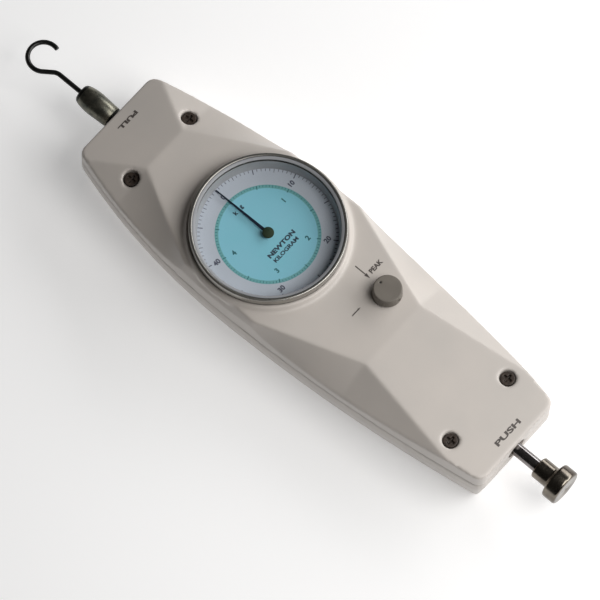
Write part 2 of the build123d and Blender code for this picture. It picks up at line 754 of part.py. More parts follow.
with BuildPart() as pull_hook:
    start_angle = radians(hook_loop_start)
    loop_x, loop_y = hook_loop_centre
    loop_in = (loop_x + hook_loop_radius * cos(start_angle), loop_y + hook_loop_radius * sin(start_angle))
    # the shank meets the loop along its tangent
    reach = -loop_in[1] / cos(start_angle)
    bend = (loop_in[0] - reach * sin(start_angle), 0)
    with BuildLine(Plane.XY.offset(rod_z)) as hook_path:
        FilletPolyline((barrel_end_x + hook_wire_socket, 0), bend, loop_in, radius=hook_bend_radius)
        CenterArc(hook_loop_centre, hook_loop_radius, hook_loop_start, hook_loop_tip - hook_loop_start - 360)
    with BuildSketch(Plane((barrel_end_x + hook_wire_socket, 0, rod_z), z_dir=(-1, 0, 0))):
        Circle(hook_wire_radius)
    sweep(path=hook_path.wires()[0])
    fillet(pull_hook.faces().filter_by(GeomType.PLANE).sort_by(Axis.Y)[-1].edges(), hook_tip_radius)
pull_hook.part.label = "pull_hook"
export_step(pull_hook.part, "parts/pull_hook.step")

head_start_x = neck_start_x + neck_length
head_end_x = head_start_x + head_thickness
with BuildPart() as push_head:
    with BuildSketch(along_rod):
        with BuildLine():
            Polyline(
                (neck_start_x, 0),
                (neck_start_x, neck_radius),
                (head_start_x, neck_radius),
                (head_start_x, head_radius),
                (head_end_x, head_radius),
                (head_end_x, 0),
                close=True,
            )
        make_face()
    revolve(axis=Axis((0, 0, rod_z), (1, 0, 0)))
    head_edges = push_head.edges().filter_by(GeomType.CIRCLE)
    chamfer(head_edges.filter_by(lambda e: abs(e.radius - head_radius) < 0.01), head_chamfer)
    with Locations((neck_start_x, 0, rod_z)):
        Cylinder(rod_radius + fit_gap, head_socket_depth + fit_gap, rotation=(0, 90, 0),
                 align=(Align.CENTER, Align.CENTER, Align.MIN), mode=Mode.SUBTRACT)
push_head.part.label = "push_head"
export_step(push_head.part, "parts/push_head.step")

# ================================================================ movement frame
with BuildPart() as spring_bracket:
    bracket_back_x = spring_start_x - bracket_thickness
    with Locations((bracket_back_x, 0, floor_thickness)):
        Box(bracket_thickness, 2 * bracket_half_width, bracket_top_z - floor_thickness,
            align=(Align.MIN, Align.CENTER, Align.MIN))
    with Locations((bracket_back_x + bracket_thickness, 0, floor_thickness)):
        for side in (-1, 1):
            with Locations((0, side * bracket_screw_y, 0)):
                Box(bracket_foot_length + bracket_thickness, 2 * (bracket_half_width - bracket_screw_y),
                    bracket_foot_thickness, align=(Align.MAX, Align.CENTER, Align.MIN))
    fillet(spring_bracket.edges().filter_by(Axis.X).group_by(Axis.Z)[-1], bracket_corner_radius)
    with Locations((spring_start_x, 0, rod_z)):
        Cylinder(spring_spigot_radius, spring_spigot_length, rotation=(0, 90, 0),
                 align=(Align.CENTER, Align.CENTER, Align.MIN))
    with Locations((spring_start_x, 0, rod_z)):
        Cylinder(rod_radius + bracket_bore_gap, 4 * spring_spigot_length, rotation=(0, 90, 0),
                 mode=Mode.SUBTRACT)
    with Locations(*[(x, y, floor_thickness) for x, y in bracket_screw_places]):
        Cylinder(small_screw_radius + fit_gap, 3 * bracket_foot_thickness, mode=Mode.SUBTRACT)
spring_bracket.part.label = "spring_bracket"
export_step(spring_bracket.part, "parts/spring_bracket.step")

with BuildPart() as bracket_screws:
    with Locations(*[(x, y, floor_thickness + bracket_foot_thickness) for x, y in bracket_screw_places]):
        Cylinder(small_screw_head_radius, small_screw_head, align=(Align.CENTER, Align.CENTER, Align.MIN))
        Cylinder(small_screw_radius, small_screw_length - small_screw_end_gap,
                 align=(Align.CENTER, Align.CENTER, Align.MAX))
bracket_screws.part.label = "bracket_screws"
export_step(bracket_screws.part, "parts/bracket_screws.step")

with BuildPart() as base_plate:
    with BuildSketch(Plane.XY.offset(base_plate_z)):
        with Locations(dial_centre):
            Circle(plate_radius)
        with Locations(*post_places):
            Circle(small_screw_radius + fit_gap, mode=Mode.SUBTRACT)
        with Locations(*pillar_places):
            Circle(pillar_spigot_radius + fit_gap, mode=Mode.SUBTRACT)
        with Locations(drive_centre):
            Circle(pivot_radius + pivot_gap, mode=Mode.SUBTRACT)
    extrude(amount=base_plate_thickness)
base_plate.part.label = "base_plate"
export_step(base_plate.part, "parts/base_plate.step")

with BuildPart() as frame_screws:
    with Locations(*[(x, y, base_plate_z + base_plate_thickness) for x, y in post_places]):
        Cylinder(small_screw_head_radius, small_screw_head, align=(Align.CENTER, Align.CENTER, Align.MIN))
        Cylinder(small_screw_radius, small_screw_length, align=(Align.CENTER, Align.CENTER, Align.MAX))
frame_screws.part.label = "frame_screws"
export_step(frame_screws.part, "parts/frame_screws.step")

base_plate_top = base_plate_z + base_plate_thickness
middle_plate_top = middle_plate_z + middle_plate_thickness
upper_plate_top = upper_plate_z + upper_plate_thickness

with BuildPart() as lower_pillars:
    for x, y in pillar_places:
        with Locations((x, y, base_plate_top)):
            Cylinder(pillar_radius, middle_plate_z - base_plate_top,
                     align=(Align.CENTER, Align.CENTER, Align.MIN))
            Cylinder(pillar_spigot_radius, base_plate_thickness,
                     align=(Align.CENTER, Align.CENTER, Align.MAX))
        with Locations((x, y, middle_plate_z)):
            Cylinder(upper_spigot_radius + fit_gap, upper_spigot_depth + fit_gap,
                     align=(Align.CENTER, Align.CENTER, Align.MAX), mode=Mode.SUBTRACT)
lower_pillars.part.label = "lower_pillars"
export_step(lower_pillars.part, "parts/lower_pillars.step")

with BuildPart() as middle_plate:
    with BuildSketch(Plane.XY.offset(middle_plate_z)):
        with Locations(dial_centre):
            Circle(plate_radius)
        with Locations(*pillar_places):
            Circle(upper_spigot_radius + fit_gap, mode=Mode.SUBTRACT)
        with Locations(drive_centre):
            Circle(arbor_radius + end_shake, mode=Mode.SUBTRACT)
        with Locations(dial_centre):
            Circle(centre_pivot_radius + pivot_gap, mode=Mode.SUBTRACT)
        with Locations((lever_x, lever_y)):
            Circle(lever_stud_radius + fit_gap, mode=Mode.SUBTRACT)
    extrude(amount=middle_plate_thickness)
middle_plate.part.label = "middle_plate"
export_step(middle_plate.part, "parts/middle_plate.step")

with BuildPart() as upper_pillars:
    for x, y in pillar_places:
        with Locations((x, y, middle_plate_top)):
            Cylinder(pillar_radius, upper_plate_z - middle_plate_top,
                     align=(Align.CENTER, Align.CENTER, Align.MIN))
            Cylinder(upper_spigot_radius, middle_plate_thickness + upper_spigot_depth,
                     align=(Align.CENTER, Align.CENTER, Align.MAX))
        with Locations((x, y, upper_plate_top)):
            Cylinder(plate_screw_radius + fit_gap, plate_screw_length + fit_gap,
                     align=(Align.CENTER, Align.CENTER, Align.MAX), mode=Mode.SUBTRACT)
upper_pillars.part.label = "upper_pillars"
export_step(upper_pillars.part, "parts/upper_pillars.step")

with BuildPart() as upper_plate:
    with BuildSketch(Plane.XY.offset(upper_plate_z)):
        with Locations(dial_centre):
            Circle(plate_radius)
            Circle(centre_arbor_radius + pivot_gap, mode=Mode.SUBTRACT)
        with Locations(drive_centre):
            Circle(pivot_radius + pivot_gap, mode=Mode.SUBTRACT)
    extrude(amount=upper_plate_thickness)
    with Locations(*[(x, y, upper_plate_top) for x, y in pillar_places]):
        CounterSinkHole(plate_screw_radius + fit_gap, plate_screw_head_radius + fit_gap,
                        depth=2 * upper_plate_thickness)
upper_plate.part.label = "upper_plate"
export_step(upper_plate.part, "parts/upper_plate.step")

with BuildPart() as plate_screws:
    for x, y in pillar_places:
        head_depth = plate_screw_head_radius - plate_screw_radius
        with Locations((x, y, upper_plate_top - head_depth)):
            Cone(plate_screw_radius, plate_screw_head_radius, head_depth,
                 align=(Align.CENTER, Align.CENTER, Align.MIN))
            Cylinder(plate_screw_radius, plate_screw_length - head_depth,
                     align=(Align.CENTER, Align.CENTER, Align.MAX))
plate_screws.part.label = "plate_screws"
export_step(plate_screws.part, "parts/plate_screws.step")

# ================================================================ gear train
rack_pinion_bottom = rod_z - rack_height / 2
with BuildPart() as drive_arbor:
    with BuildSketch(Plane.XY.offset(rack_pinion_bottom)):
        with BuildLine():
            pinion_points = gear_points(
                rack_module, rack_pinion_teeth, 90 + 180 / rack_pinion_teeth, drive_centre
            )
            Polyline(*pinion_points, close=True)
        make_face()
    extrude(amount=rack_height)
    with Locations((drive_x, drive_y, base_plate_top + end_shake)):
        Cylinder(arbor_radius, upper_plate_z - base_plate_top - 2 * end_shake,
                 align=(Align.CENTER, Align.CENTER, Align.MIN))
    with Locations((drive_x, drive_y, base_plate_z + end_shake)):
        Cylinder(pivot_radius, upper_plate_top - base_plate_z - 2 * end_shake,
                 align=(Align.CENTER, Align.CENTER, Align.MIN))
drive_arbor.part.label = "drive_arbor"
export_step(drive_arbor.part, "parts/drive_arbor.step")

with BuildPart() as drive_wheel:
    with BuildSketch(Plane.XY.offset(wheel_z)):
        with BuildLine():
            wheel_points = gear_points(wheel_module, wheel_teeth, train_angle, drive_centre)
            Polyline(*wheel_points, close=True)
        make_face()
        with Locations(drive_centre):
            Circle(wheel_radius - wheel_rim, mode=Mode.SUBTRACT)
            for i in range(wheel_spokes // 2):
                Rectangle(2 * (wheel_radius - wheel_rim + spoke_bite), wheel_spoke_width,
                          rotation=i * 360 / wheel_spokes)
            Circle(wheel_hub_radius)
    extrude(amount=wheel_thickness)
    with BuildSketch(Plane.XY.offset(wheel_z)):
        with Locations(drive_centre):
            Circle(wheel_hub_radius)
    extrude(amount=wheel_hub_top_z - wheel_z)
    with BuildSketch(Plane.XY.offset(wheel_z)):
        with Locations(drive_centre):
            Circle(arbor_radius + fit_gap)
    extrude(amount=wheel_hub_top_z - wheel_z, mode=Mode.SUBTRACT)
drive_wheel.part.label = "drive_wheel"
export_step(drive_wheel.part, "parts/drive_wheel.step")

hub_top_z = pointer_z + pointer_thickness + hub_height
with BuildPart() as centre_arbor:
    with BuildSketch(Plane.XY.offset(centre_pinion_z)):
        with BuildLine():
            centre_points = gear_points(
                wheel_module, centre_pinion_teeth, train_angle + 180 + 180 / centre_pinion_teeth, dial_centre
            )
            Polyline(*centre_points, close=True)
        make_face()
    extrude(amount=centre_pinion_height)
    with Locations((dial_x, 0, middle_plate_top + end_shake)):
        Cylinder(centre_arbor_radius, hub_top_z - hub_roof - running_gap - middle_plate_top - end_shake,
                 align=(Align.CENTER, Align.CENTER, Align.MIN))
    with Locations((dial_x, 0, middle_plate_z + end_shake)):
        Cylinder(centre_pivot_radius, 3 * middle_plate_thickness,
                 align=(Align.CENTER, Align.CENTER, Align.MIN))
centre_arbor.part.label = "centre_arbor"
export_step(centre_arbor.part, "parts/centre_arbor.step")

with BuildPart() as brake_drum:
    with BuildSketch(Plane.XY.offset(drum_z)):
        with Locations(dial_centre):
            Circle(drum_radius)
            Circle(centre_arbor_radius + fit_gap, mode=Mode.SUBTRACT)
    extrude(amount=drum_height)
brake_drum.part.label = "brake_drum"
export_step(brake_drum.part, "parts/brake_drum.step")

with BuildPart() as pointer:
    with BuildSketch(Plane.XY.offset(pointer_z)):
        with Locations(dial_centre):
            Circle(hub_radius - hub_overhang)
            Polygon(
                (0, pointer_root_width / 2),
                (-pointer_length, pointer_tip_width / 2),
                (-pointer_length, -pointer_tip_width / 2),
                (0, -pointer_root_width / 2),
                align=None,
            )
            Circle(centre_arbor_radius + fit_gap, mode=Mode.SUBTRACT)
    extrude(amount=pointer_thickness)
pointer.part.label = "pointer"
export_step(pointer.part, "parts/pointer.step")

with BuildPart() as pointer_hub:
    hub_base_z = pointer_z + pointer_thickness
    socket_x = dial_x + centre_arbor_radius + fit_gap
    socket_top_z = hub_top_z - hub_roof
    with BuildSketch(Plane.XZ):
        with BuildLine():
            Polyline(
                (dial_x, hub_top_z),
                (dial_x, socket_top_z),
                (socket_x, socket_top_z),
                (socket_x, hub_base_z),
                (dial_x + hub_radius, hub_base_z),
                (dial_x + hub_radius, hub_base_z + hub_side_height),
            )
            TangentArc(
                (dial_x, hub_top_z), (dial_x + hub_radius, hub_base_z + hub_side_height), tangent=(1, 0)
            )
        make_face()
    revolve(axis=Axis((dial_x, 0, 0), (0, 0, 1)))
pointer_hub.part.label = "pointer_hub"
export_step(pointer_hub.part, "parts/pointer_hub.step")

# ================================================================ bezel and dial
with BuildPart() as bezel_ring:
    with BuildSketch(Plane.XZ):
        with Locations((dial_x, 0)):
            Polygon(
                (dial_radius + fit_gap, bezel_skirt_bottom_z),
                (bezel_skirt_radius, bezel_skirt_bottom_z),
                (bezel_skirt_radius, snap_groove_z),
                (snap_groove_radius, snap_groove_z),
                (snap_groove_radius, snap_groove_z + snap_ring_thickness + seat_gap),
                (bezel_skirt_radius, snap_groove_z + snap_ring_thickness + seat_gap),
                (bezel_skirt_radius, shoulder_z),
                (bezel_radius, shoulder_z),
                (bezel_radius, bezel_top_z - bezel_rim_chamfer),
                (bezel_radius - bezel_rim_chamfer, bezel_top_z),
                (lens_radius + fit_gap, bezel_top_z),
                (lens_radius + fit_gap, lens_seat_z),
                (bezel_bore_radius, lens_seat_z),
                (bezel_bore_radius, dial_z),
                (dial_radius + fit_gap, dial_z),
                align=None,
            )
    revolve(axis=Axis((dial_x, 0, 0), (0, 0, 1)))
bezel_ring.part.label = "bezel_ring"
export_step(bezel_ring.part, "parts/bezel_ring.step")

with BuildPart() as dial_lens:
    with BuildSketch(Plane.XY.offset(lens_seat_z)):
        with Locations(dial_centre):
            Circle(lens_radius)
    extrude(amount=lens_thickness)
dial_lens.part.label = "dial_lens"
export_step(dial_lens.part, "parts/dial_lens.step")

with BuildPart() as lens_ring:
    with BuildSketch(Plane.XY.offset(lens_seat_z + lens_thickness)):
        with Locations(dial_centre):
            Circle(lens_radius)
            Circle(lens_radius - lens_ring_width, mode=Mode.SUBTRACT)
    extrude(amount=bezel_top_z - lens_seat_z - lens_thickness - seat_gap)
lens_ring.part.label = "lens_ring"
export_step(lens_ring.part, "parts/lens_ring.step")

with BuildPart() as dial_face:
    with BuildSketch(Plane.XY.offset(dial_z - dial_thickness)):
        with Locations(dial_centre):
            Circle(dial_radius)
            Circle(dial_hole_radius, mode=Mode.SUBTRACT)
    extrude(amount=dial_thickness)
dial_face.part.label = "dial_face"
export_step(dial_face.part, "parts/dial_face.step")

with BuildPart() as bezel_snap_ring:
    with BuildSketch(Plane.XY.offset(snap_groove_z + seat_gap / 2)):
        with Locations(dial_centre):
            Circle(snap_ring_radius)
            Circle(snap_groove_radius + fit_gap, mode=Mode.SUBTRACT)
            with Locations((snap_ring_radius, 0)):
                gap_width = 2 * snap_ring_radius * sin(radians(snap_gap_angle / 2))
                Rectangle(2 * snap_ring_reach + 2 * skirt_wall, gap_width, mode=Mode.SUBTRACT)
    extrude(amount=snap_ring_thickness)
bezel_snap_ring.part.label = "bezel_snap_ring"
export_step(bezel_snap_ring.part, "parts/bezel_snap_ring.step")

# ================================================================ peak knob and brake
with BuildPart() as knob_bush:
    with BuildSketch(Plane.XY.offset(knob_bush_bottom_z)):
        with Locations(knob_centre):
            Circle(knob_bush_radius - fit_gap)
    extrude(amount=case_top_z - knob_bush_bottom_z)
    with BuildSketch(Plane.XY.offset(case_top_z)):
        with Locations(knob_centre):
            Circle(knob_bush_flange_radius)
    extrude(amount=knob_bush_flange)
    with Locations((knob_x, knob_y, case_top_z)):
        Cylinder(knob_shaft_radius + running_gap, 2 * parting_z, mode=Mode.SUBTRACT)
knob_bush.part.label = "knob_bush"
export_step(knob_bush.part, "parts/knob_bush.step")

cam_x = knob_x + cam_offset * cos(radians(cam_offset_angle))
cam_y = knob_y + cam_offset * sin(radians(cam_offset_angle))
with BuildPart() as knob_shaft:
    with BuildSketch(Plane.XY.offset(cam_z)):
        with Locations((cam_x, cam_y)):
            Circle(cam_radius)
    extrude(amount=cam_height)
    with Locations((knob_x, knob_y, cam_z)):
        Cylinder(knob_shaft_radius, knob_bottom_z + knob_bore_depth - cam_z - knob_bore_gap,
                 align=(Align.CENTER, Align.CENTER, Align.MIN))
knob_shaft.part.label = "knob_shaft"
export_step(knob_shaft.part, "parts/knob_shaft.step")

with BuildPart() as peak_knob:
    with BuildSketch(Plane.XY.offset(knob_bottom_z)):
        with Locations(knob_centre):
            Circle(knob_radius)
    with BuildSketch(Plane.XY.offset(knob_top_z)):
        with Locations(knob_centre):
            Circle(knob_top_radius)
    loft(ruled=True)
    fillet(peak_knob.faces().sort_by(Axis.Z)[-1].edges(), knob_edge_radius)
    with Locations((knob_x, knob_y, knob_bottom_z)):
        Cylinder(knob_shaft_radius + fit_gap, knob_bore_depth,
                 align=(Align.CENTER, Align.CENTER, Align.MIN), mode=Mode.SUBTRACT)
    screw_z = knob_bottom_z + knob_bore_depth / 2
    with Locations(Location((knob_x, knob_y, screw_z), (0, 90, knob_screw_angle))):
        Cylinder(knob_screw_radius + fit_gap, 2 * knob_radius,
                 align=(Align.CENTER, Align.CENTER, Align.MIN), mode=Mode.SUBTRACT)
    with Locations((knob_x - knob_dot_offset, knob_y, knob_top_z)):
        Cylinder(knob_dot_radius, 2 * knob_dot_depth, mode=Mode.SUBTRACT)
peak_knob.part.label = "peak_knob"
export_step(peak_knob.part, "parts/peak_knob.step")

with BuildPart() as knob_set_screw:
    with Locations(Location((knob_x, knob_y, screw_z), (0, 90, knob_screw_angle))):
        with Locations((0, 0, knob_shaft_radius + running_gap)):
            Cylinder(knob_screw_radius, knob_radius - knob_shaft_radius - knob_screw_sink,
                     align=(Align.CENTER, Align.CENTER, Align.MIN))
knob_set_screw.part.label = "knob_set_screw"
export_step(knob_set_screw.part, "parts/knob_set_screw.step")

# Two-armed lever: one arm carries the pad, the edge of the other follows the cam.
cam_edge_y = knob_y - cam_radius + cam_offset * sin(radians(cam_offset_angle)) - lever_cam_gap
pad_face_y = drum_radius + pad_gap
with BuildPart() as brake_lever:
    with BuildSketch(Plane.XY.offset(lever_z)):
        with Locations((lever_x, lever_y)):
            Circle(lever_boss_radius)
        Polygon(
            (lever_x, lever_y + lever_boss_radius - lever_tuck),
            (dial_x - pad_width / 2, pad_face_y + pad_depth + lever_arm_width),
            (dial_x - pad_width / 2, pad_face_y + pad_depth),
            (dial_x + pad_width / 2, pad_face_y + pad_depth),
            (lever_x, lever_y - lever_boss_radius + lever_tuck),
            align=None,
        )
        Polygon(
            (lever_x, lever_y - lever_boss_radius + lever_tuck),
            (knob_x - lever_cam_flat, cam_edge_y - lever_arm_width),
            (knob_x + lever_cam_flat, cam_edge_y - lever_arm_width),
            (knob_x + lever_cam_flat, cam_edge_y),
            (knob_x - 2 * lever_cam_flat, cam_edge_y),
            (lever_x, lever_y + lever_boss_radius - lever_tuck),
            align=None,
        )
        with Locations((lever_x, lever_y)):
            Circle(lever_stud_radius + running_gap, mode=Mode.SUBTRACT)
    extrude(amount=lever_thickness)
brake_lever.part.label = "brake_lever"
export_step(brake_lever.part, "parts/brake_lever.step")

with BuildPart() as brake_pad:
    with BuildSketch(Plane.XY.offset(lever_z)):
        Polygon(
            (dial_x - pad_width / 2, pad_face_y),
            (dial_x + pad_width / 2, pad_face_y),
            (dial_x + pad_width / 2, pad_face_y + pad_depth),
            (dial_x - pad_width / 2, pad_face_y + pad_depth),
            align=None,
        )
    extrude(amount=lever_thickness)
brake_pad.part.label = "brake_pad"
export_step(brake_pad.part, "parts/brake_pad.step")

with BuildPart() as lever_stud:
    with Locations((lever_x, lever_y, middle_plate_z)):
        Cylinder(lever_stud_radius, upper_plate_z - middle_plate_z - running_gap,
                 align=(Align.CENTER, Align.CENTER, Align.MIN))
    with Locations((lever_x, lever_y, middle_plate_top)):
        Cylinder(lever_boss_radius - lever_tuck, lever_z - end_shake - middle_plate_top,
                 align=(Align.CENTER, Align.CENTER, Align.MIN))
lever_stud.part.label = "lever_stud"
export_step(lever_stud.part, "parts/lever_stud.step")
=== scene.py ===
"""Analog push-pull force gauge: finishes, dressed shells, printed dial and studio.

Sizes are in millimetres unless a name ends in _m, and MM turns them into metres.
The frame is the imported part's: +X along the rod to the push head, +Z out of the dial.
"""

import json
import logging
import math
from dataclasses import dataclass, field
from enum import Enum
from typing import Callable, Iterable, Sequence

import bmesh
import bpy
from mathutils import Matrix, Vector
from mathutils.bvhtree import BVHTree


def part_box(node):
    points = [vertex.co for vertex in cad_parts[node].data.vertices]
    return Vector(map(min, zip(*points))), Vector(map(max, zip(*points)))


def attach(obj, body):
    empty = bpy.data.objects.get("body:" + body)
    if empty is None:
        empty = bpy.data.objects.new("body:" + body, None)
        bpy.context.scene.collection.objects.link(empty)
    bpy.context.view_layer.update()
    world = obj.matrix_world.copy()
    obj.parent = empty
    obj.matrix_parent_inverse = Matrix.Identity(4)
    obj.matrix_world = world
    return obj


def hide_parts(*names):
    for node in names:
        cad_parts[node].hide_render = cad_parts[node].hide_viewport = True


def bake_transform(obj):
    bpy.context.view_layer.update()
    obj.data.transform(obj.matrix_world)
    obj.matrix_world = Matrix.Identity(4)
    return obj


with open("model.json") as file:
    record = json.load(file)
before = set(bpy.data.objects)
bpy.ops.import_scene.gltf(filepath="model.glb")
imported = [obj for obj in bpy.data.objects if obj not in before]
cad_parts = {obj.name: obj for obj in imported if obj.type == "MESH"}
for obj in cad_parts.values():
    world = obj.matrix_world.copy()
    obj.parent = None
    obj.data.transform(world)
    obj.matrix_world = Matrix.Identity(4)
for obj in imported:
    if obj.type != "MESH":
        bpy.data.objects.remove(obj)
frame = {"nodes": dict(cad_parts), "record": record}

MM = 0.001
LOG = logging.getLogger("force_gauge")
FINISH_TAG = "_finish"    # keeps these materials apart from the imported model's own
ON_AXIS = 1e-6            # a radius or a side below this counts as none
WELD_M = 2e-7             # corners closer than this are one
SIDE_SHARE = 0.45         # most of a short side that a rounding may take
EDGE_DEG = 35.0           # edges sharper than this stay sharp, where a piece says nothing else
ALL_SMOOTH = 180.0        # an angle that leaves no edge sharp
LETTER_STEPS = 3          # segments between two points of a letter's outline
UP = Vector((0.0, 0.0, 1.0))

Point = tuple[float, float]
Triple = tuple[float, float, float]
Colour = tuple[float, float, float]


class Body(Enum):
    """The bodies that the scene's own pieces ride on."""

    CASE = "case"
    ROD = "rod"
    POINTER = "pointer_set"
    BEZEL = "bezel"
    KNOB = "knob"


# ---------------------------------------------------------------- shader trees
class ShaderTree:
    """A material's node tree, with short calls for the nodes that the finishes share."""

    def __init__(self, name: str) -> None:
        """Start an empty tree.

        Args:
            name: name of the material.
        """
        self.material = bpy.data.materials.new(name + FINISH_TAG)
        self.material.use_nodes = True
        self.nodes = self.material.node_tree.nodes
        self.links = self.material.node_tree.links
        self.nodes.clear()
        self.output = self.nodes.new("ShaderNodeOutputMaterial")
        self.surface = self.nodes.new("ShaderNodeBsdfPrincipled")
        self.links.new(self.surface.outputs["BSDF"], self.output.inputs["Surface"])
        self.coordinates = self.nodes.new("ShaderNodeTexCoord").outputs["Object"]

    def set(self, **values: float | Colour) -> None:
        """Set constants on the shader's own sockets.

        Args:
            values: socket names with _ for a space, and their values.
        """
        for key, value in values.items():
            socket = self.surface.inputs[key.replace("_", " ")]
            socket.default_value = (*value, 1.0) if isinstance(value, tuple) else value

    def feed(self, socket: str, source: bpy.types.NodeSocket) -> None:
        """Link a node's output to one of the shader's sockets."""
        self.links.new(source, self.surface.inputs[socket])

    def noise(self, scale: float, detail: float, rough: float = 0.5,
              stretch: Triple = (1.0, 1.0, 1.0)) -> bpy.types.NodeSocket:
        """Noise in the piece's own coordinates.

        Args:
            scale: cycles per metre.
            detail: number of octaves.
            rough: share of the finer octaves.
            stretch: scale along each axis.

        Returns:
            The noise value.
        """
        place = self.nodes.new("ShaderNodeMapping")
        place.inputs["Scale"].default_value = stretch
        self.links.new(self.coordinates, place.inputs["Vector"])
        texture = self.nodes.new("ShaderNodeTexNoise")
        texture.inputs["Scale"].default_value = scale
        texture.inputs["Detail"].default_value = detail
        texture.inputs["Roughness"].default_value = rough
        self.links.new(place.outputs["Vector"], texture.inputs["Vector"])
        return texture.outputs["Fac"]

    def ranged(self, value: bpy.types.NodeSocket, low: float, high: float,
               start: float = 0.3, end: float = 0.7) -> bpy.types.NodeSocket:
        """Map a value from start..end to low..high.

        Args:
            value: what is mapped.
            low: result at start.
            high: result at end.
            start: lowest value used.
            end: highest value used.

        Returns:
            The mapped value.
        """
        node = self.nodes.new("ShaderNodeMapRange")
        node.inputs["From Min"].default_value = start
        node.inputs["From Max"].default_value = end
        node.inputs["To Min"].default_value = low
        node.inputs["To Max"].default_value = high
        self.links.new(value, node.inputs["Value"])
        return node.outputs["Result"]

    def blend(self, factor: bpy.types.NodeSocket, first: Colour,
              second: Colour) -> bpy.types.NodeSocket:
        """Mix two colours.

        Args:
            factor: share of the second colour.
            first: colour where the factor is 0.
            second: colour where it is 1.

        Returns:
            The mixed colour.
        """
        node = self.nodes.new("ShaderNodeMix")
        node.data_type = "RGBA"
        inputs = [s for s in node.inputs if s.type == "RGBA"]
        self.links.new(factor, node.inputs[0])
        inputs[0].default_value = (*first, 1.0)
        inputs[1].default_value = (*second, 1.0)
        return [s for s in node.outputs if s.type == "RGBA"][0]

    def bump(self, height: bpy.types.NodeSocket, depth_m: float) -> None:
        """Add relief to the shader's normal.

        Args:
            height: relief, from 0 to 1.
            depth_m: depth of the relief in metres.
        """
        node = self.nodes.new("ShaderNodeBump")
        node.inputs["Strength"].default_value = 1.0
        node.inputs["Distance"].default_value = depth_m
        self.links.new(height, node.inputs["Height"])
        self.feed("Normal", node.outputs["Normal"])


# ---------------------------------------------------------------- finishes
@dataclass(frozen=True)
class Finish:
    """A surface finish with mottled colour, uneven gloss and fine relief.

    Attributes:
        name: name of the material.
        colour: main colour, linear.
        shade: colour of the mottling, linear.
        metal: 1 for bare metal, 0 for paint or plastic.
        rough: (low, high) roughness.
        mottle: cycles per metre of the mottling.
        grain: cycles per metre of the relief.
        relief_m: depth of the relief in metres.
        lay: stretch of the grain along each axis.
        extra: further shader constants.
    """

    name: str
    colour: Colour
    shade: Colour
    metal: float = 0.0
    rough: Point = (0.35, 0.5)
    mottle: float = 60.0
    grain: float = 1500.0
    relief_m: float = 2e-5
    lay: Triple = (1.0, 1.0, 1.0)
    extra: tuple[tuple[str, float], ...] = ()

    def build(self) -> bpy.types.Material:
        """Make the node tree of this finish.

        Returns:
            The material.
        """
        tree = ShaderTree(self.name)
        tree.set(Metallic=self.metal, **dict(self.extra))
        mottling = tree.ranged(tree.noise(self.mottle, detail=4.0), low=0.0, high=1.0)
        tree.feed("Base Color", tree.blend(mottling, self.colour, self.shade))
        grain = tree.noise(self.grain, detail=3.0, rough=0.6, stretch=self.lay)
        tree.feed("Roughness", tree.ranged(grain, *self.rough))
        tree.bump(grain, self.relief_m)
        return tree.material


@dataclass(frozen=True)
class ClearGlass:
    """Flat mineral glass that lets the light through and reflects a little at its faces.

    Attributes:
        name: name of the material.
        tint: colour of the light that passes.
        gloss: roughness of the reflection.
        mirror: share of light that each face reflects head on.
        slant_mirror: the same at a grazing angle.
        falloff: how late the reflection grows towards that angle.
    """

    name: str = "clear_glass"
    tint: Colour = (0.97, 0.985, 0.985)
    gloss: float = 0.03
    mirror: float = 0.02
    slant_mirror: float = 0.8
    falloff: float = 5.0

    def build(self) -> bpy.types.Material:
        """Make the node tree: a clear shader with a glossy one over it, stronger at a slant.

        Returns:
            The material.
        """
        tree = ShaderTree(self.name)
        tree.nodes.remove(tree.surface)
        clear = tree.nodes.new("ShaderNodeBsdfTransparent")
        clear.inputs["Color"].default_value = (*self.tint, 1.0)
        gloss = tree.nodes.new("ShaderNodeBsdfGlossy")
        gloss.inputs["Roughness"].default_value = self.gloss
        slant = tree.nodes.new("ShaderNodeLayerWeight")
        slant.inputs["Blend"].default_value = 0.5
        power = tree.nodes.new("ShaderNodeMath")
        power.operation = "POWER"
        power.inputs[1].default_value = self.falloff
        tree.links.new(slant.outputs["Facing"], power.inputs[0])
        mix = tree.nodes.new("ShaderNodeMixShader")
        share = tree.ranged(power.outputs["Value"], self.mirror, self.slant_mirror, start=0.0, end=1.0)
        tree.links.new(share, mix.inputs["Fac"])
        tree.links.new(clear.outputs["BSDF"], mix.inputs[1])
        tree.links.new(gloss.outputs["BSDF"], mix.inputs[2])
        tree.links.new(mix.outputs["Shader"], tree.output.inputs["Surface"])
        return tree.material


def ink(name: str, colour: Colour, shade: Colour, rough: Point = (0.5, 0.65),
        mottle: float = 900.0) -> Finish:
    """A matt printing ink with a fine grain.

    Args:
        name: name of the material.
        colour: main colour, linear.
        shade: colour of the mottling, linear.
        rough: (low, high) roughness.
        mottle: cycles per metre of the mottling.

    Returns:
        The finish.
    """
    return Finish(name, colour, shade, rough=rough, mottle=mottle, grain=3000.0, relief_m=2e-6)


def enamel(name: str, colour: Colour, shade: Colour, rough: Point = (0.45, 0.6),
           mottle: float = 45.0) -> Finish:
    """A smooth satin enamel, as on the dial and inside its rim.

    Args:
        name: name of the material.
        colour: main colour, linear.
        shade: colour of the mottling, linear.
        rough: (low, high) roughness.
        mottle: cycles per metre of the mottling.

    Returns:
        The finish.
    """
    return Finish(name, colour, shade, rough=rough, mottle=mottle, grain=2500.0, relief_m=3e-6)


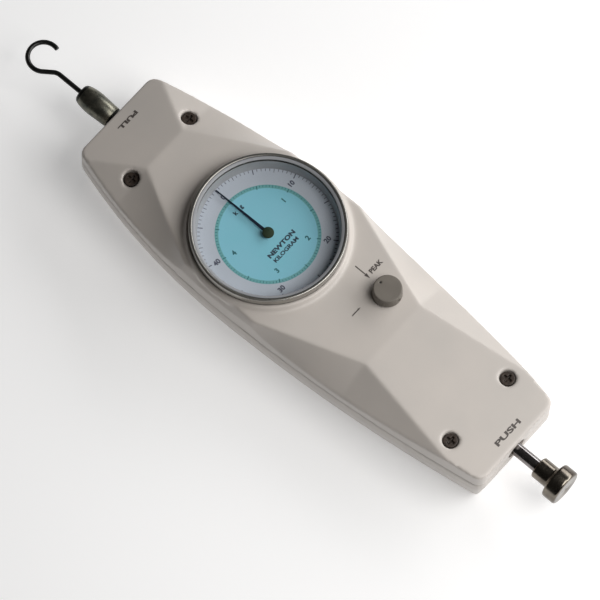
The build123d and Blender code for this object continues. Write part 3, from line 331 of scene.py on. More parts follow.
class Look(Enum):
    """Every finish on the gauge."""

    CASE_PAINT = Finish("case_paint", (0.65, 0.6, 0.555), (0.60, 0.56, 0.522), rough=(0.36, 0.46),
                        mottle=35.0, grain=1300.0, relief_m=1.2e-5,
                        extra=(("Coat_Weight", 0.12), ("Coat_Roughness", 0.3)))
    DARK_SCREW = Finish("dark_screw", (0.022, 0.015, 0.011), (0.06, 0.042, 0.032), rough=(0.4, 0.6),
                        mottle=600.0, grain=3000.0, extra=(("Specular_IOR_Level", 0.4),))
    BARREL_STEEL = Finish("barrel_steel", (0.235, 0.225, 0.18), (0.07, 0.075, 0.065), metal=0.9,
                          rough=(0.24, 0.42), mottle=240.0, grain=900.0, relief_m=1.5e-5,
                          lay=(12.0, 1.0, 1.0))
    BARREL_NOSE = Finish("barrel_nose", (0.018, 0.018, 0.016), (0.03, 0.031, 0.028), metal=0.8,
                         rough=(0.3, 0.5), mottle=300.0)
    HOOK_WIRE = Finish("hook_wire", (0.03, 0.031, 0.03), (0.06, 0.06, 0.058), metal=0.85,
                       rough=(0.2, 0.36), mottle=300.0, grain=2500.0, relief_m=1e-5)
    POLISHED_STEEL = Finish("polished_steel", (0.34, 0.325, 0.325), (0.2, 0.18, 0.175), metal=1.0,
                            rough=(0.12, 0.22), mottle=150.0, grain=700.0, relief_m=4e-6,
                            lay=(14.0, 1.0, 1.0))
    HEAD_STEEL = Finish("head_steel", (0.27, 0.245, 0.205), (0.1, 0.084, 0.07), metal=1.0,
                        rough=(0.16, 0.28), mottle=130.0, grain=900.0, relief_m=6e-6,
                        lay=(8.0, 1.0, 1.0))
    RIM_METAL = Finish("rim_metal", (0.42, 0.41, 0.38), (0.33, 0.32, 0.3), metal=0.9,
                       rough=(0.26, 0.36), mottle=90.0, relief_m=2e-6)
    # near-black skirt of the rim: painted shade on the rim's metal, not a finish of its own
    RIM_SKIRT = Finish("rim_skirt_painted_shade", (0.06, 0.058, 0.055), (0.09, 0.085, 0.08), metal=0.3,
                       rough=(0.4, 0.55), mottle=120.0, grain=1800.0, relief_m=4e-6)
    RIM_LINER = enamel("rim_liner", (0.46, 0.445, 0.46), (0.37, 0.355, 0.365), rough=(0.35, 0.5),
                       mottle=90.0)
    RIM_SLOPE = enamel("rim_slope", (0.36, 0.37, 0.39), (0.3, 0.31, 0.33), rough=(0.3, 0.45),
                       mottle=90.0)
    DIAL_WHITE = enamel("dial_white", (0.64, 0.66, 0.735), (0.6, 0.62, 0.70), mottle=50.0)
    DIAL_GREEN = enamel("dial_green", (0.21, 0.5, 0.53), (0.18, 0.47, 0.47))
    DIAL_BLUE = enamel("dial_blue", (0.325, 0.69, 0.84), (0.29, 0.68, 0.81))
    DIAL_INK = ink("dial_ink", (0.03, 0.05, 0.075), (0.05, 0.075, 0.11))
    DIAL_TEAL = ink("dial_teal", (0.05, 0.2, 0.21), (0.04, 0.15, 0.18))
    DIAL_GREY = ink("dial_grey", (0.075, 0.075, 0.12), (0.13, 0.13, 0.18))
    CASE_INK = ink("case_ink", (0.075, 0.065, 0.06), (0.12, 0.105, 0.095), rough=(0.45, 0.6),
                   mottle=700.0)
    POINTER_BLACK = Finish("pointer_black", (0.006, 0.012, 0.03), (0.01, 0.018, 0.035),
                           rough=(0.5, 0.6), mottle=200.0, grain=2500.0, relief_m=2e-6,
                           extra=(("Specular_IOR_Level", 0.25),))
    HUB_BRASS = Finish("hub_brass", (0.03, 0.048, 0.03), (0.045, 0.06, 0.034), rough=(0.6, 0.75),
                       mottle=500.0, grain=2500.0, relief_m=5e-6, extra=(("Specular_IOR_Level", 0.08),))
    KNOB_PLASTIC = Finish("knob_plastic", (0.215, 0.195, 0.17), (0.175, 0.158, 0.138),
                          rough=(0.46, 0.58), mottle=90.0, grain=1400.0, relief_m=1e-5,
                          extra=(("Specular_IOR_Level", 0.2),))
    KNOB_DOT = Finish("knob_dot", (0.012, 0.01, 0.008), (0.02, 0.018, 0.015), rough=(0.5, 0.6),
                      mottle=400.0, grain=2500.0, relief_m=2e-6)
    PLATE_BRASS = Finish("plate_brass", (0.58, 0.42, 0.18), (0.5, 0.35, 0.14), metal=1.0,
                         rough=(0.22, 0.38), mottle=80.0, grain=900.0, relief_m=3e-6,
                         lay=(1.0, 14.0, 1.0))
    INNER_STEEL = Finish("inner_steel", (0.5, 0.5, 0.49), (0.42, 0.42, 0.42), metal=1.0,
                         rough=(0.22, 0.36), mottle=90.0, grain=1200.0, relief_m=3e-6)
    SPRING_STEEL = Finish("spring_steel", (0.24, 0.24, 0.25), (0.18, 0.17, 0.17), metal=1.0,
                          rough=(0.26, 0.4), mottle=200.0, relief_m=4e-6)
    BRONZE = Finish("bronze", (0.10, 0.07, 0.042), (0.07, 0.046, 0.028), metal=0.8, rough=(0.42, 0.58),
                    mottle=200.0, relief_m=5e-6)
    PAD_RUBBER = Finish("pad_rubber", (0.02, 0.02, 0.02), (0.035, 0.034, 0.033), rough=(0.7, 0.9),
                        mottle=300.0, grain=2500.0, relief_m=1e-5)
    LENS_GLASS = ClearGlass()

    def material(self) -> bpy.types.Material:
        """The Blender material of this finish, made at its first use."""
        found = bpy.data.materials.get(self.value.name + FINISH_TAG)
        return found or self.value.build()


# ---------------------------------------------------------------- meshes
def link_mesh(name: str, mesh: bpy.types.Mesh, look: Look, smooth_deg: float = EDGE_DEG) -> bpy.types.Object:
    """Put a mesh in the scene with its finish.

    Args:
        name: name of the object.
        mesh: the mesh, in metres.
        look: its finish.
        smooth_deg: edges sharper than this stay sharp.

    Returns:
        The new object.
    """
    mesh.name = name
    mesh.materials.clear()
    mesh.materials.append(look.material())
    mesh.shade_smooth()
    mesh.set_sharp_from_angle(angle=math.radians(smooth_deg))
    obj = bpy.data.objects.new(name, mesh)
    bpy.context.scene.collection.objects.link(obj)
    return obj


def lathe(profile: Sequence[Point], steps: int = 96) -> bmesh.types.BMesh:
    """Revolve a closed profile round Z.

    Args:
        profile: (radius, z) points in order round the section.
        steps: number of segments round the axis.

    Returns:
        The closed surface, in millimetres, round the origin.
    """
    made = bmesh.new()
    rings = []
    for radius, z in profile:
        if radius < ON_AXIS:
            rings.append([made.verts.new((0.0, 0.0, z))])
            continue
        turn = [2 * math.pi * i / steps for i in range(steps)]
        rings.append([made.verts.new((radius * math.cos(a), radius * math.sin(a), z)) for a in turn])
    for lower, upper in zip(rings, rings[1:] + rings[:1]):
        for i in range(steps):
            corners = [lower[i % len(lower)], lower[(i + 1) % len(lower)],
                       upper[(i + 1) % len(upper)], upper[i % len(upper)]]
            unique = list(dict.fromkeys(corners))
            if len(unique) > 2:
                made.faces.new(unique)
    bmesh.ops.recalc_face_normals(made, faces=made.faces)
    return made


def rounded(profile: Sequence[Point], radius: float, steps: int) -> list[Point]:
    """Round the corners of a closed profile that are off the axis.

    Args:
        profile: corner points in order.
        radius: radius of the rounding, cut back on short sides.
        steps: segments per corner.

    Returns:
        The rounded profile.
    """
    result: list[Point] = []
    count = len(profile)
    for i, corner in enumerate(profile):
        here = Vector(corner)
        before = Vector(profile[i - 1]) - here
        after = Vector(profile[(i + 1) % count]) - here
        if min(corner[0], before.length, after.length) < ON_AXIS:
            result.append(tuple(corner))
            continue
        reach = min(radius, before.length * SIDE_SHARE, after.length * SIDE_SHARE)
        start, end = here + before.normalized() * reach, here + after.normalized() * reach
        for k in range(steps + 1):
            t = k / steps
            point = start * (1 - t) ** 2 + here * 2 * t * (1 - t) + end * t ** 2
            result.append((point.x, point.y))
    return result


def quarter(steps: int) -> list[float]:
    """Angles from 0 to a quarter turn, in radians."""
    return [math.pi / 2 * k / steps for k in range(steps + 1)]


def to_mesh(made: bmesh.types.BMesh, place: Matrix | None = None) -> bpy.types.Mesh:
    """Turn a millimetre bmesh into a mesh in metres.

    Args:
        made: the bmesh, which is freed.
        place: where it goes, in millimetres.

    Returns:
        The mesh.
    """
    if place is not None:
        bmesh.ops.transform(made, matrix=place, verts=made.verts)
    bmesh.ops.scale(made, vec=(MM, MM, MM), verts=made.verts)
    return to_mesh_in_metres(made)


def to_mesh_in_metres(made: bmesh.types.BMesh) -> bpy.types.Mesh:
    """Turn a bmesh that is in metres into a mesh.

    Args:
        made: the bmesh, which is freed.

    Returns:
        The mesh.
    """
    mesh = bpy.data.meshes.new("made")
    made.to_mesh(mesh)
    made.free()
    return mesh


def baked(obj: bpy.types.Object) -> bpy.types.Mesh:
    """Apply an object's modifiers.

    Args:
        obj: the object, which stays as it is.

    Returns:
        The new mesh.
    """
    bpy.context.view_layer.update()
    graph = bpy.context.evaluated_depsgraph_get()
    return bpy.data.meshes.new_from_object(obj.evaluated_get(graph))


def node_copy(node: str) -> bmesh.types.BMesh:
    """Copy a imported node's surface and join its split corners again.

    Args:
        node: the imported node.

    Returns:
        The surface, in metres.
    """
    made = bmesh.new()
    made.from_mesh(frame["nodes"][node].data)
    bmesh.ops.remove_doubles(made, verts=made.verts, dist=WELD_M)
    return made


def softened(node: str, name: str, voxel_m: float, rounds: int) -> bpy.types.Mesh:
    """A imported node's form with every edge softened, as thick paint leaves it.

    Args:
        node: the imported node.
        name: name of the result.
        voxel_m: spacing of the new surface in metres.
        rounds: smoothing steps.

    Returns:
        The mesh.
    """
    holder = bpy.data.objects.new(name + "_raw", to_mesh_in_metres(node_copy(node)))
    bpy.context.scene.collection.objects.link(holder)
    skin = holder.modifiers.new("skin", "REMESH")
    skin.mode = "VOXEL"
    skin.voxel_size = voxel_m
    ease = holder.modifiers.new("ease", "SMOOTH")
    ease.factor = 0.5
    ease.iterations = rounds
    result = baked(holder)
    bpy.data.objects.remove(holder)
    return result


def thicken(made: bmesh.types.BMesh, depth: float) -> None:
    """Give flat faces a thickness along +Z.

    Args:
        made: flat faces at z = 0, in millimetres.
        depth: thickness.
    """
    for f in made.faces:
        if f.normal.z < 0:
            f.normal_flip()
    flat = list(made.faces)
    raised = bmesh.ops.extrude_face_region(made, geom=flat, use_keep_orig=True)
    top = [v for v in raised["geom"] if isinstance(v, bmesh.types.BMVert)]
    bmesh.ops.translate(made, vec=(0.0, 0.0, depth), verts=top)
    for f in flat:
        f.normal_flip()


def bar(made: bmesh.types.BMesh, start: Point, end: Point, width: float,
        end_width: float | None = None) -> None:
    """Add a flat bar between two points.

    Args:
        made: where the bar goes.
        start: middle of its first end.
        end: middle of its other end.
        width: width at the start.
        end_width: width at the end, or None for the same.
    """
    a, b = Vector((*start, 0.0)), Vector((*end, 0.0))
    side = (b - a).normalized().cross(UP)
    half, far = side * width / 2, side * (width if end_width is None else end_width) / 2
    made.faces.new([made.verts.new(p) for p in (a - half, a + half, b + far, b - far)])


def merged(parts: Iterable[bmesh.types.BMesh]) -> bmesh.types.BMesh:
    """Join several bmeshes into one.

    Args:
        parts: the bmeshes, which are freed.

    Returns:
        The whole.
    """
    whole = bmesh.new()
    for part in parts:
        scratch = bpy.data.meshes.new("scratch")
        part.to_mesh(scratch)
        part.free()
        whole.from_mesh(scratch)
        bpy.data.meshes.remove(scratch)
    return whole


def place_piece(name: str, mesh: bpy.types.Mesh, look: Look, body: Body,
                nodes: Sequence[str] = (), smooth_deg: float = EDGE_DEG) -> bpy.types.Object:
    """Put a piece in the scene, on its body and in its nodes' place.

    Args:
        name: name of the piece.
        mesh: its mesh, in metres.
        look: its finish.
        body: the body that it rides on.
        nodes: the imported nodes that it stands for.
        smooth_deg: edges sharper than this stay sharp.

    Returns:
        The piece.
    """
    piece = link_mesh(name, mesh, look, smooth_deg)
    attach(piece, body.value)
    if nodes:
        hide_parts(*nodes)
    LOG.info("%s: %d faces", name, len(mesh.polygons))
    return piece


def along_rod(x: float) -> Matrix:
    """Where a lathed piece goes whose Z runs along the rod from x, in millimetres."""
    middle = node_middle("measuring_rod")
    return Matrix.Translation((x, middle.y, middle.z)) @ Matrix.Rotation(math.pi / 2, 4, "Y")


def tube(path: Sequence[Vector], radii: Sequence[float], steps: int = 20) -> bmesh.types.BMesh:
    """A round bar along a path in the XY plane, closed at both ends.

    Args:
        path: its middle line.
        radii: its radius at each point.
        steps: segments round it.

    Returns:
        The bar, in millimetres.
    """
    made = bmesh.new()
    rings = []
    for i, point in enumerate(path):
        run = path[min(i + 1, len(path) - 1)] - path[max(i - 1, 0)]
        side = run.normalized().cross(UP)
        turn = [2 * math.pi * k / steps for k in range(steps)]
        rings.append([made.verts.new(point + radii[i] * (side * math.cos(a) + UP * math.sin(a)))
                      for a in turn])
    for first, second in zip(rings, rings[1:]):
        for k in range(steps):
            made.faces.new((first[k], first[(k + 1) % steps], second[(k + 1) % steps], second[k]))
    made.faces.new(rings[0])
    made.faces.new(rings[-1])
    bmesh.ops.recalc_face_normals(made, faces=made.faces)
    return made


def node_middle(node: str) -> Vector:
    """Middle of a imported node's box, in millimetres."""
    low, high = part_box(node)
    return (low + high) / 2 / MM


# ---------------------------------------------------------------- printing
@dataclass(frozen=True)
class Word:
    """A word or number that is printed flat.

    Attributes:
        text: its letters.
        height: height of a capital letter.
        place: its middle in plan, from the frame's origin or the dial's centre.
        width: length of the word, or None for its natural one.
        weight: how far the strokes are thickened, as a share of the letters' size.
        turn_deg: turn from reading along +Y.
    """

    text: str
    height: float
    place: Point
    width: float | None = None
    weight: float = 0.04
    turn_deg: float = 0.0

    def flat(self, depth: float) -> bmesh.types.BMesh:
        """Make the letters, centred on the origin and read along +X.

        Args:
            depth: thickness of the ink.

        Returns:
            The letters, in millimetres.
        """
        curve = bpy.data.curves.new("letters", "FONT")
        curve.body = self.text
        curve.align_x = "CENTER"
        curve.align_y = "CENTER"
        curve.resolution_u = LETTER_STEPS
        curve.offset = self.weight
        holder = bpy.data.objects.new("letters", curve)
        bpy.context.scene.collection.objects.link(holder)
        mesh = baked(holder)
        bpy.data.objects.remove(holder)
        made = bmesh.new()
        made.from_mesh(mesh)
        bpy.data.meshes.remove(mesh)
        xs, ys = [v.co.x for v in made.verts], [v.co.y for v in made.verts]
        middle = Vector(((min(xs) + max(xs)) / 2, (min(ys) + max(ys)) / 2, 0.0))
        bmesh.ops.translate(made, vec=-middle, verts=made.verts)
        scale = self.height / (max(ys) - min(ys))
        along = self.width / (max(xs) - min(xs)) if self.width else scale
        bmesh.ops.scale(made, vec=(along, scale, 1.0), verts=made.verts)
        thicken(made, depth)
        return made

    def upright(self, depth: float) -> bmesh.types.BMesh:
        """Make the letters in their place, read along +Y.

        Args:
            depth: thickness of the ink.

        Returns:
            The letters, in millimetres.
        """
        made = self.flat(depth)
        turn = Matrix.Translation((*self.place, 0.0)) @ Matrix.Rotation(math.pi / 2, 4, "Z")
        bmesh.ops.transform(made, matrix=turn, verts=made.verts)
        return made


@dataclass(frozen=True)
class Arrow:
    """A thin printed arrow.

    Attributes:
        length: its length.
        head: length of its head.
        place: its middle in plan.
        turn_deg: turn from pointing along +Y.
        line: width of its shaft.
        point: width of its tip.
        spread: width of the head's foot, as a share of the head's length.
    """

    length: float
    head: float
    place: Point
    turn_deg: float = 0.0
    line: float = 0.5
    point: float = 0.02
    spread: float = 0.6

    def flat(self, depth: float) -> bmesh.types.BMesh:
        """Make the arrow, centred on the origin and pointing along +X.

        Args:
            depth: thickness of the ink.

        Returns:
            The arrow, in millimetres.
        """
        made = bmesh.new()
        end = self.length / 2
        bar(made, (-end, 0.0), (end - self.head, 0.0), self.line)
        bar(made, (end - self.head, 0.0), (end, 0.0), self.head * self.spread, self.point)
        thicken(made, depth)
        return made


# ---------------------------------------------------------------- sub-assemblies
@dataclass
class CaseShells:
    """The two painted shells and what is printed on the front one.

    Attributes:
        front_voxel_m: spacing of the front shell's surface in metres.
        rear_voxel_m: spacing of the rear shell's surface.
        rounds: smoothing steps that round the edges.
        ink: thickness of the printing.
        lift: gap under the printing.
        longest_edge: longer edges of the printing are split, so that it follows the shell.
        hook_edge_z: height of the sloping facet's lower edge at the hook end.
        hook_slope: its rise per millimetre.
        hook_ridge_x: the facet's upper end.
        prints: the words and arrows on the front shell, by the names of their pieces.
    """

    front_voxel_m: float = 0.00066
    rear_voxel_m: float = 0.0008
    quick_factor: float = 2.0
    rounds: int = 6
    ink: float = 0.03
    lift: float = 0.03
    longest_edge: float = 1.2
    hook_edge_z: float = 27.0
    hook_slope: float = 6.5 / 28.5
    hook_ridge_x: float = -90.0
    prints: dict[str, Word | Arrow] = field(default_factory=lambda: {
        "push_word": Word("PUSH", 2.6, (109.0, 0.3), 15.2),
        "pull_word": Word("PULL", 2.08, (-108.6, 1.0), 11.4, 0.05, 180.0),
        "peak_word": Word("PEAK", 2.3, (18.0, 19.0), 7.4),
        "peak_arrow": Arrow(8.4, 2.6, (15.5, 13.2), -90.0),
        "track_mark": Arrow(5.4, 1.6, (25.4, -2.4)),
    })

    def build(self) -> None:
        """Make the shells and the printing."""
        front = self.shell("front_shell", "front_cover", self.front_voxel_m)
        self.shell("rear_shell", "rear_cover", self.rear_voxel_m)
        self.flatten_facet(front)
        surface = BVHTree.FromPolygons([v.co for v in front.vertices],
                                       [tuple(p.vertices) for p in front.polygons])
        for name, sign in self.prints.items():
            self.print_on(surface, name, sign)

    def shell(self, name: str, node: str, voxel_m: float) -> bpy.types.Mesh:
        """Make one painted shell.

        Args:
            name: name of the piece.
            node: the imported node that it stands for.
            voxel_m: spacing of its surface in metres.

        Returns:
            The shell's mesh.
        """
        spacing = voxel_m * 1.0
        mesh = softened(node, name, spacing, self.rounds)
        return place_piece(name, mesh, Look.CASE_PAINT, Body.CASE, [node], ALL_SMOOTH).data

    def flatten_facet(self, mesh: bpy.types.Mesh) -> None:
        """Keep the sloping facet at the hook end flat over the saddle that lies under it.

        Args:
            mesh: the front shell.
        """
        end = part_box("front_cover")[0].x / MM
        for v in mesh.vertices:
            x = v.co.x / MM
            if x < self.hook_ridge_x:
                v.co.z = min(v.co.z, (self.hook_edge_z + self.hook_slope * (x - end)) * MM)

    def print_on(self, surface: BVHTree, name: str, sign: Word | Arrow) -> None:
        """Lay a word or an arrow on the front shell.

        Args:
            surface: the shell's surface, in metres.
            name: name of the piece.
            sign: what is printed.
        """
        made = sign.flat(self.ink)
        long_edges = [e for e in made.edges if e.calc_length() > self.longest_edge]
        bmesh.ops.subdivide_edges(made, edges=long_edges, cuts=2)
        turn = Matrix.Rotation(math.radians(90.0 + sign.turn_deg), 4, "Z")
        mesh = to_mesh(made, Matrix.Translation((*sign.place, 0.0)) @ turn)
        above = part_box("bezel_ring")[1].z
        for v in mesh.vertices:
            hit = surface.ray_cast(Vector((v.co.x, v.co.y, above)), -UP)[0]
            if hit is not None:
                v.co.z += hit.z + self.lift * MM
        place_piece(name, mesh, Look.CASE_INK, Body.CASE)


@dataclass
class DialPlate:
    """The printed dial: a blue disc on a white plate, two scales and their numbers.

    Attributes:
        disc_radius: radius of the disc with its edge band.
        edge_band: width of the band round the blue disc.
        outer: (middle, outer) radius of the outer scale's short ticks.
        inner: the same for the inner scale.
        divisions: ticks of a full turn.
        step: ticks between two longer ones.
        tick: width of a tick.
        bold: how much wider every second long tick is.
        outer_reach: how much further in the outer scale's longest ticks reach.
        inner_reach: the same for the inner scale.
        numbers: numbers of each scale.
        outer_step: the outer scale's count from one number to the next.
        outer_number_radius: where the outer numbers stand.
        inner_number_radius: where the inner numbers stand.
        number_height: height of a number.
        ink: thickness of the printing.
        base: gap under the first layer of printing.
        ring_steps: segments round a printed ring.
        words: the names of the units.
        marks: the signs of the smaller scale's unit.
        centre: the dial's middle.
    """

    disc_radius: float = 23.1
    edge_band: float = 1.6
    outer: Point = (29.45, 30.6)
    inner: Point = (21.95, 22.9)
    divisions: int = 100
    step: int = 5
    tick: float = 0.26
    bold: float = 1.6
    outer_reach: float = 1.1
    inner_reach: float = 0.8
    numbers: int = 5
    outer_step: int = 10
    outer_number_radius: float = 25.8
    inner_number_radius: float = 17.2
    number_height: float = 2.5
    ink: float = 0.03
    base: float = 0.005
    ring_steps: int = 144
    words: tuple[Word, ...] = (Word("NEWTON", 2.2, (7.3, 0.4), 16.5, 0.05),
                               Word("KILOGRAM", 1.9, (10.5, -0.2), 15.0))
    marks: tuple[Word, ...] = (Word("k", 2.1, (-17.0, -1.9)), Word("g", 2.1, (-16.7, 1.9)))
    centre: Vector = field(default_factory=lambda: node_middle("dial_face"))

    def put(self, name: str, made: bmesh.types.BMesh, look: Look, lift: float) -> None:
        """Place printing on the dial.

        Args:
            name: name of the piece.
            made: the printing round the dial's centre, flat on z = 0.
            look: its finish.
            lift: height over the dial's face.
        """
        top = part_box("dial_face")[1].z / MM
        place = Matrix.Translation((self.centre.x, self.centre.y, top + lift))
        place_piece(name, to_mesh(made, place), look, Body.BEZEL)

    def direction(self, share: float) -> Vector:
        """Direction on the dial after that share of a turn, clockwise from zero."""
        angle = 2 * math.pi * share
        return Vector((-math.cos(angle), math.sin(angle)))

    def scale(self, radii: Point, reach: float) -> bmesh.types.BMesh:
        """The ticks of one scale.

        Args:
            radii: (inner, outer) radius of the short ticks.
            reach: how much further in the longest ticks reach.

        Returns:
            The ticks.
        """
        made = bmesh.new()
        inner, outer = radii
        for i in range(self.divisions):
            way = self.direction(i / self.divisions)
            longest, long = i % (2 * self.step) == 0, i % self.step == 0
            further = reach if longest else reach / 2 if long else 0.0
            width = self.tick * (self.bold if longest else 1.0)
            bar(made, tuple(way * (inner - further)), tuple(way * outer), width)
        thicken(made, self.ink)
        return made

    def count(self, step: int, radius: float, first: int) -> bmesh.types.BMesh:
        """The numbers of one scale.

        Args:
            step: count from one number to the next.
            radius: where they stand.
            first: place of the first one that is printed.

        Returns:
            The numbers.
        """
        return merged(Word(str(step * k), self.number_height,
                           tuple(self.direction(k / self.numbers) * radius)).upright(self.ink)
                      for k in range(first, self.numbers))

    def ring(self, inner: float, outer: float) -> bmesh.types.BMesh:
        """A flat printed ring between two radii."""
        return lathe([(inner, 0.0), (outer, 0.0), (outer, self.ink), (inner, self.ink)], self.ring_steps)

    def build(self) -> None:
        """Make the printing."""
        over = self.base + self.ink
        band = self.disc_radius - self.edge_band
        self.put("dial_disc", self.ring(0.0, band), Look.DIAL_BLUE, self.base)
        self.put("dial_band", self.ring(band, self.disc_radius), Look.DIAL_GREEN, self.base)
        self.put("outer_scale", self.scale(self.outer, self.outer_reach), Look.DIAL_GREY, self.base)
        self.put("inner_scale", self.scale(self.inner, self.inner_reach), Look.DIAL_TEAL, over)
        self.put("outer_numbers", self.count(self.outer_step, self.outer_number_radius, 0),
                 Look.DIAL_GREY, self.base)
        self.put("inner_numbers", self.count(1, self.inner_number_radius, 1), Look.DIAL_TEAL, over)
        self.put("unit_words", merged(w.upright(self.ink) for w in self.words), Look.DIAL_INK, over)
        self.put("unit_marks", merged(w.upright(self.ink) for w in self.marks), Look.DIAL_INK, over)


@dataclass
class Bezel:
    """The turning bezel: a rounded metal rim, the ring that holds the lens, and a liner down to the dial.

    Attributes:
        bead: rounding of the rim's lip.
        bead_steps: segments of that rounding.
        lip: height of the lip over the skirt.
        wall: thickness of the skirt and the liner.
        over_lens: how far the retainer and the liner's head reach in past the bore.
        retainer_top: width of the retainer's top.
        retainer_foot: height of its inner edge.
        liner_foot: how far the liner leans in at the dial.
        gap: play between parts that touch.
        steps: segments round the ring.
        smooth_deg: edges sharper than this stay sharp.
    """

    bead: float = 0.75
    bead_steps: int = 7
    lip: float = 4.6
    wall: float = 1.1
    over_lens: float = 0.2
    retainer_top: float = 0.21
    retainer_foot: float = 0.15
    liner_foot: float = 1.2
    gap: float = 0.04
    steps: int = 192
    smooth_deg: float = 50.0

    def turn(self, name: str, profile: Sequence[Point], look: Look,
             nodes: Sequence[str] = ()) -> bpy.types.Object:
        """Turn a profile round the dial's axis and ride it on the bezel.

        Args:
            name: name of the piece.
            profile: its section as (radius, z).
            look: its finish.
            nodes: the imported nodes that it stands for.

        Returns:
            The piece.
        """
        centre = node_middle("bezel_ring")
        shift = Matrix.Translation((centre.x, centre.y, 0.0))
        mesh = to_mesh(lathe(profile, self.steps), shift)
        return place_piece(name, mesh, look, Body.BEZEL, nodes, self.smooth_deg)

    def paint_skirt_shade(self, piece: bpy.types.Object, height: float, radius: float) -> None:
        """Colour the rim's outer side below its bead near-black: painted shade on the same metal as the
        bead.

        Args:
            piece: the rim.
            height: faces below this height are meant.
            radius: faces inside this radius keep the rim's finish.
        """
        piece.data.materials.append(Look.RIM_SKIRT.material())
        centre = node_middle("bezel_ring")
        for face in piece.data.polygons:
            middle = face.center / MM - centre
            outside = math.hypot(middle.x, middle.y) > radius - 2 * self.gap
            if outside and face.center.z / MM < height:
                face.material_index = 1

    def build(self) -> None:
        """Make the rim, the lens ring and the liner."""
        low, high = (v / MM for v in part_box("bezel_ring"))
        lens_low, lens_high = (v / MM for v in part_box("dial_lens"))
        dial_low, dial_high = (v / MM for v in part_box("dial_face"))
        outer = (high.x - low.x) / 2
        lens = (lens_high.x - lens_low.x) / 2 + self.gap
        dial = (dial_high.x - dial_low.x) / 2 + self.gap
        bore = lens - self.wall
        skirt = dial + self.wall
        shoulder = high.z - self.lip
        lens_seat = lens_low.z - self.gap
        foot = [(dial, low.z), (skirt - self.gap, low.z), (skirt - self.gap, shoulder)]
        lip = rounded([(outer, shoulder), (outer, high.z), (lens, high.z), (lens, lens_seat)],
                      self.bead, self.bead_steps)[:-1]
        inside = [(lens, lens_seat), (bore, lens_seat), (bore, dial_high.z + self.gap),
                  (dial, dial_high.z + self.gap)]
        rim = self.turn("bezel_rim", foot + lip + inside, Look.RIM_METAL, ["bezel_ring"])
        # painted shade: the skirt below the bead is coloured near-black all round
        self.paint_skirt_shade(rim, shoulder + self.bead, skirt)
        inner = bore - self.over_lens
        seat, top = lens_high.z + self.gap, high.z - self.bead / 2
        edge = lens - self.gap
        retainer = [(edge, seat), (edge, top), (edge - self.retainer_top, top),
                    (inner, seat + self.retainer_foot), (inner, seat)]
        self.turn("lens_retainer", retainer, Look.RIM_SLOPE, ["lens_ring"])
        dial_end, lens_end = dial_high.z + 2 * self.gap, lens_low.z - 2 * self.gap
        liner = [(bore - self.gap, dial_end), (bore - self.gap, lens_end), (inner, lens_end),
                 (bore - self.liner_foot, dial_end)]
        self.turn("bezel_liner", liner, Look.RIM_LINER)


@dataclass
class PushRod:
    """The polished rod where it leaves the case, and the flat push head screwed on its end.

    Attributes:
        neck: radius of the head's neck.
        chamfer: chamfer at the neck's free end.
        bore: radius of the hole for the rod.
        depth: depth of that hole.
        flange: thickness of the head's flat disc.
        flare: hollow rounding between neck and disc.
        flare_steps: segments of that rounding.
        edge: rounding of the turned edges.
        edge_steps: segments of that rounding.
        dimple: (radius, depth) of the centre mark in the end face.
    """

    neck: float = 5.1
    chamfer: float = 0.5
    bore: float = 3.04
    depth: float = 9.04
    flange: float = 6.9
    flare: float = 1.6
    flare_steps: int = 8
    edge: float = 1.3
    edge_steps: int = 8
    dimple: Point = (0.9, 0.5)

    def head(self) -> bpy.types.Mesh:
        """Turn the push head.

        Returns:
            The head, in metres.
        """
        low, high = (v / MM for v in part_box("push_head"))
        length, radius = high.x - low.x, (high.z - low.z) / 2
        disc = length - self.flange
        neck = [(self.bore, 0.0), (self.neck - self.chamfer, 0.0), (self.neck, self.chamfer)]
        hollow = [(self.neck + self.flare * (1 - math.cos(a)), disc - self.flare * (1 - math.sin(a)))
                  for a in quarter(self.flare_steps)]
        corners_of_disc = [(self.neck, disc), (radius, disc), (radius, length), (0.0, length)]
        first_corner = self.edge_steps + 1    # the hollow stands for the corner at the neck
        rim = rounded(corners_of_disc, self.edge, self.edge_steps)[first_corner:-1]
        face = [(self.dimple[0], length), (0.0, length - self.dimple[1]), (0.0, self.depth),
                (self.bore, self.depth)]
        return to_mesh(lathe(neck + hollow + rim + face), along_rod(low.x))

    def build(self) -> None:
        """Make the rod and the head."""
        place_piece("smooth_rod", to_mesh_in_metres(node_copy("measuring_rod")), Look.POLISHED_STEEL,
                    Body.ROD, ["measuring_rod"], smooth_deg=30.0)
        place_piece("turned_head", self.head(), Look.HEAD_STEEL, Body.ROD, ["push_head"],
                    smooth_deg=40.0)


@dataclass
class LoadSpring:
    """The coil spring that the rod shortens, kept in the form of its imported node.

    Attributes:
        fixed_x: where it rests on the bracket; not used.
        moving_x: where the rod's collar holds it; not used.
        smooth_deg: edges sharper than this stay sharp.
    """

    fixed_x: float = 25.0
    moving_x: float = 65.0
    smooth_deg: float = 45.0

    def build(self) -> None:
        """Make the spring from its imported node's form."""
        mesh = to_mesh_in_metres(node_copy("load_spring"))
        spring = link_mesh("coiled_spring", mesh, Look.SPRING_STEEL, self.smooth_deg)
        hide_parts("load_spring")
        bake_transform(spring)
        LOG.info("coiled_spring: %d faces", len(mesh.polygons))


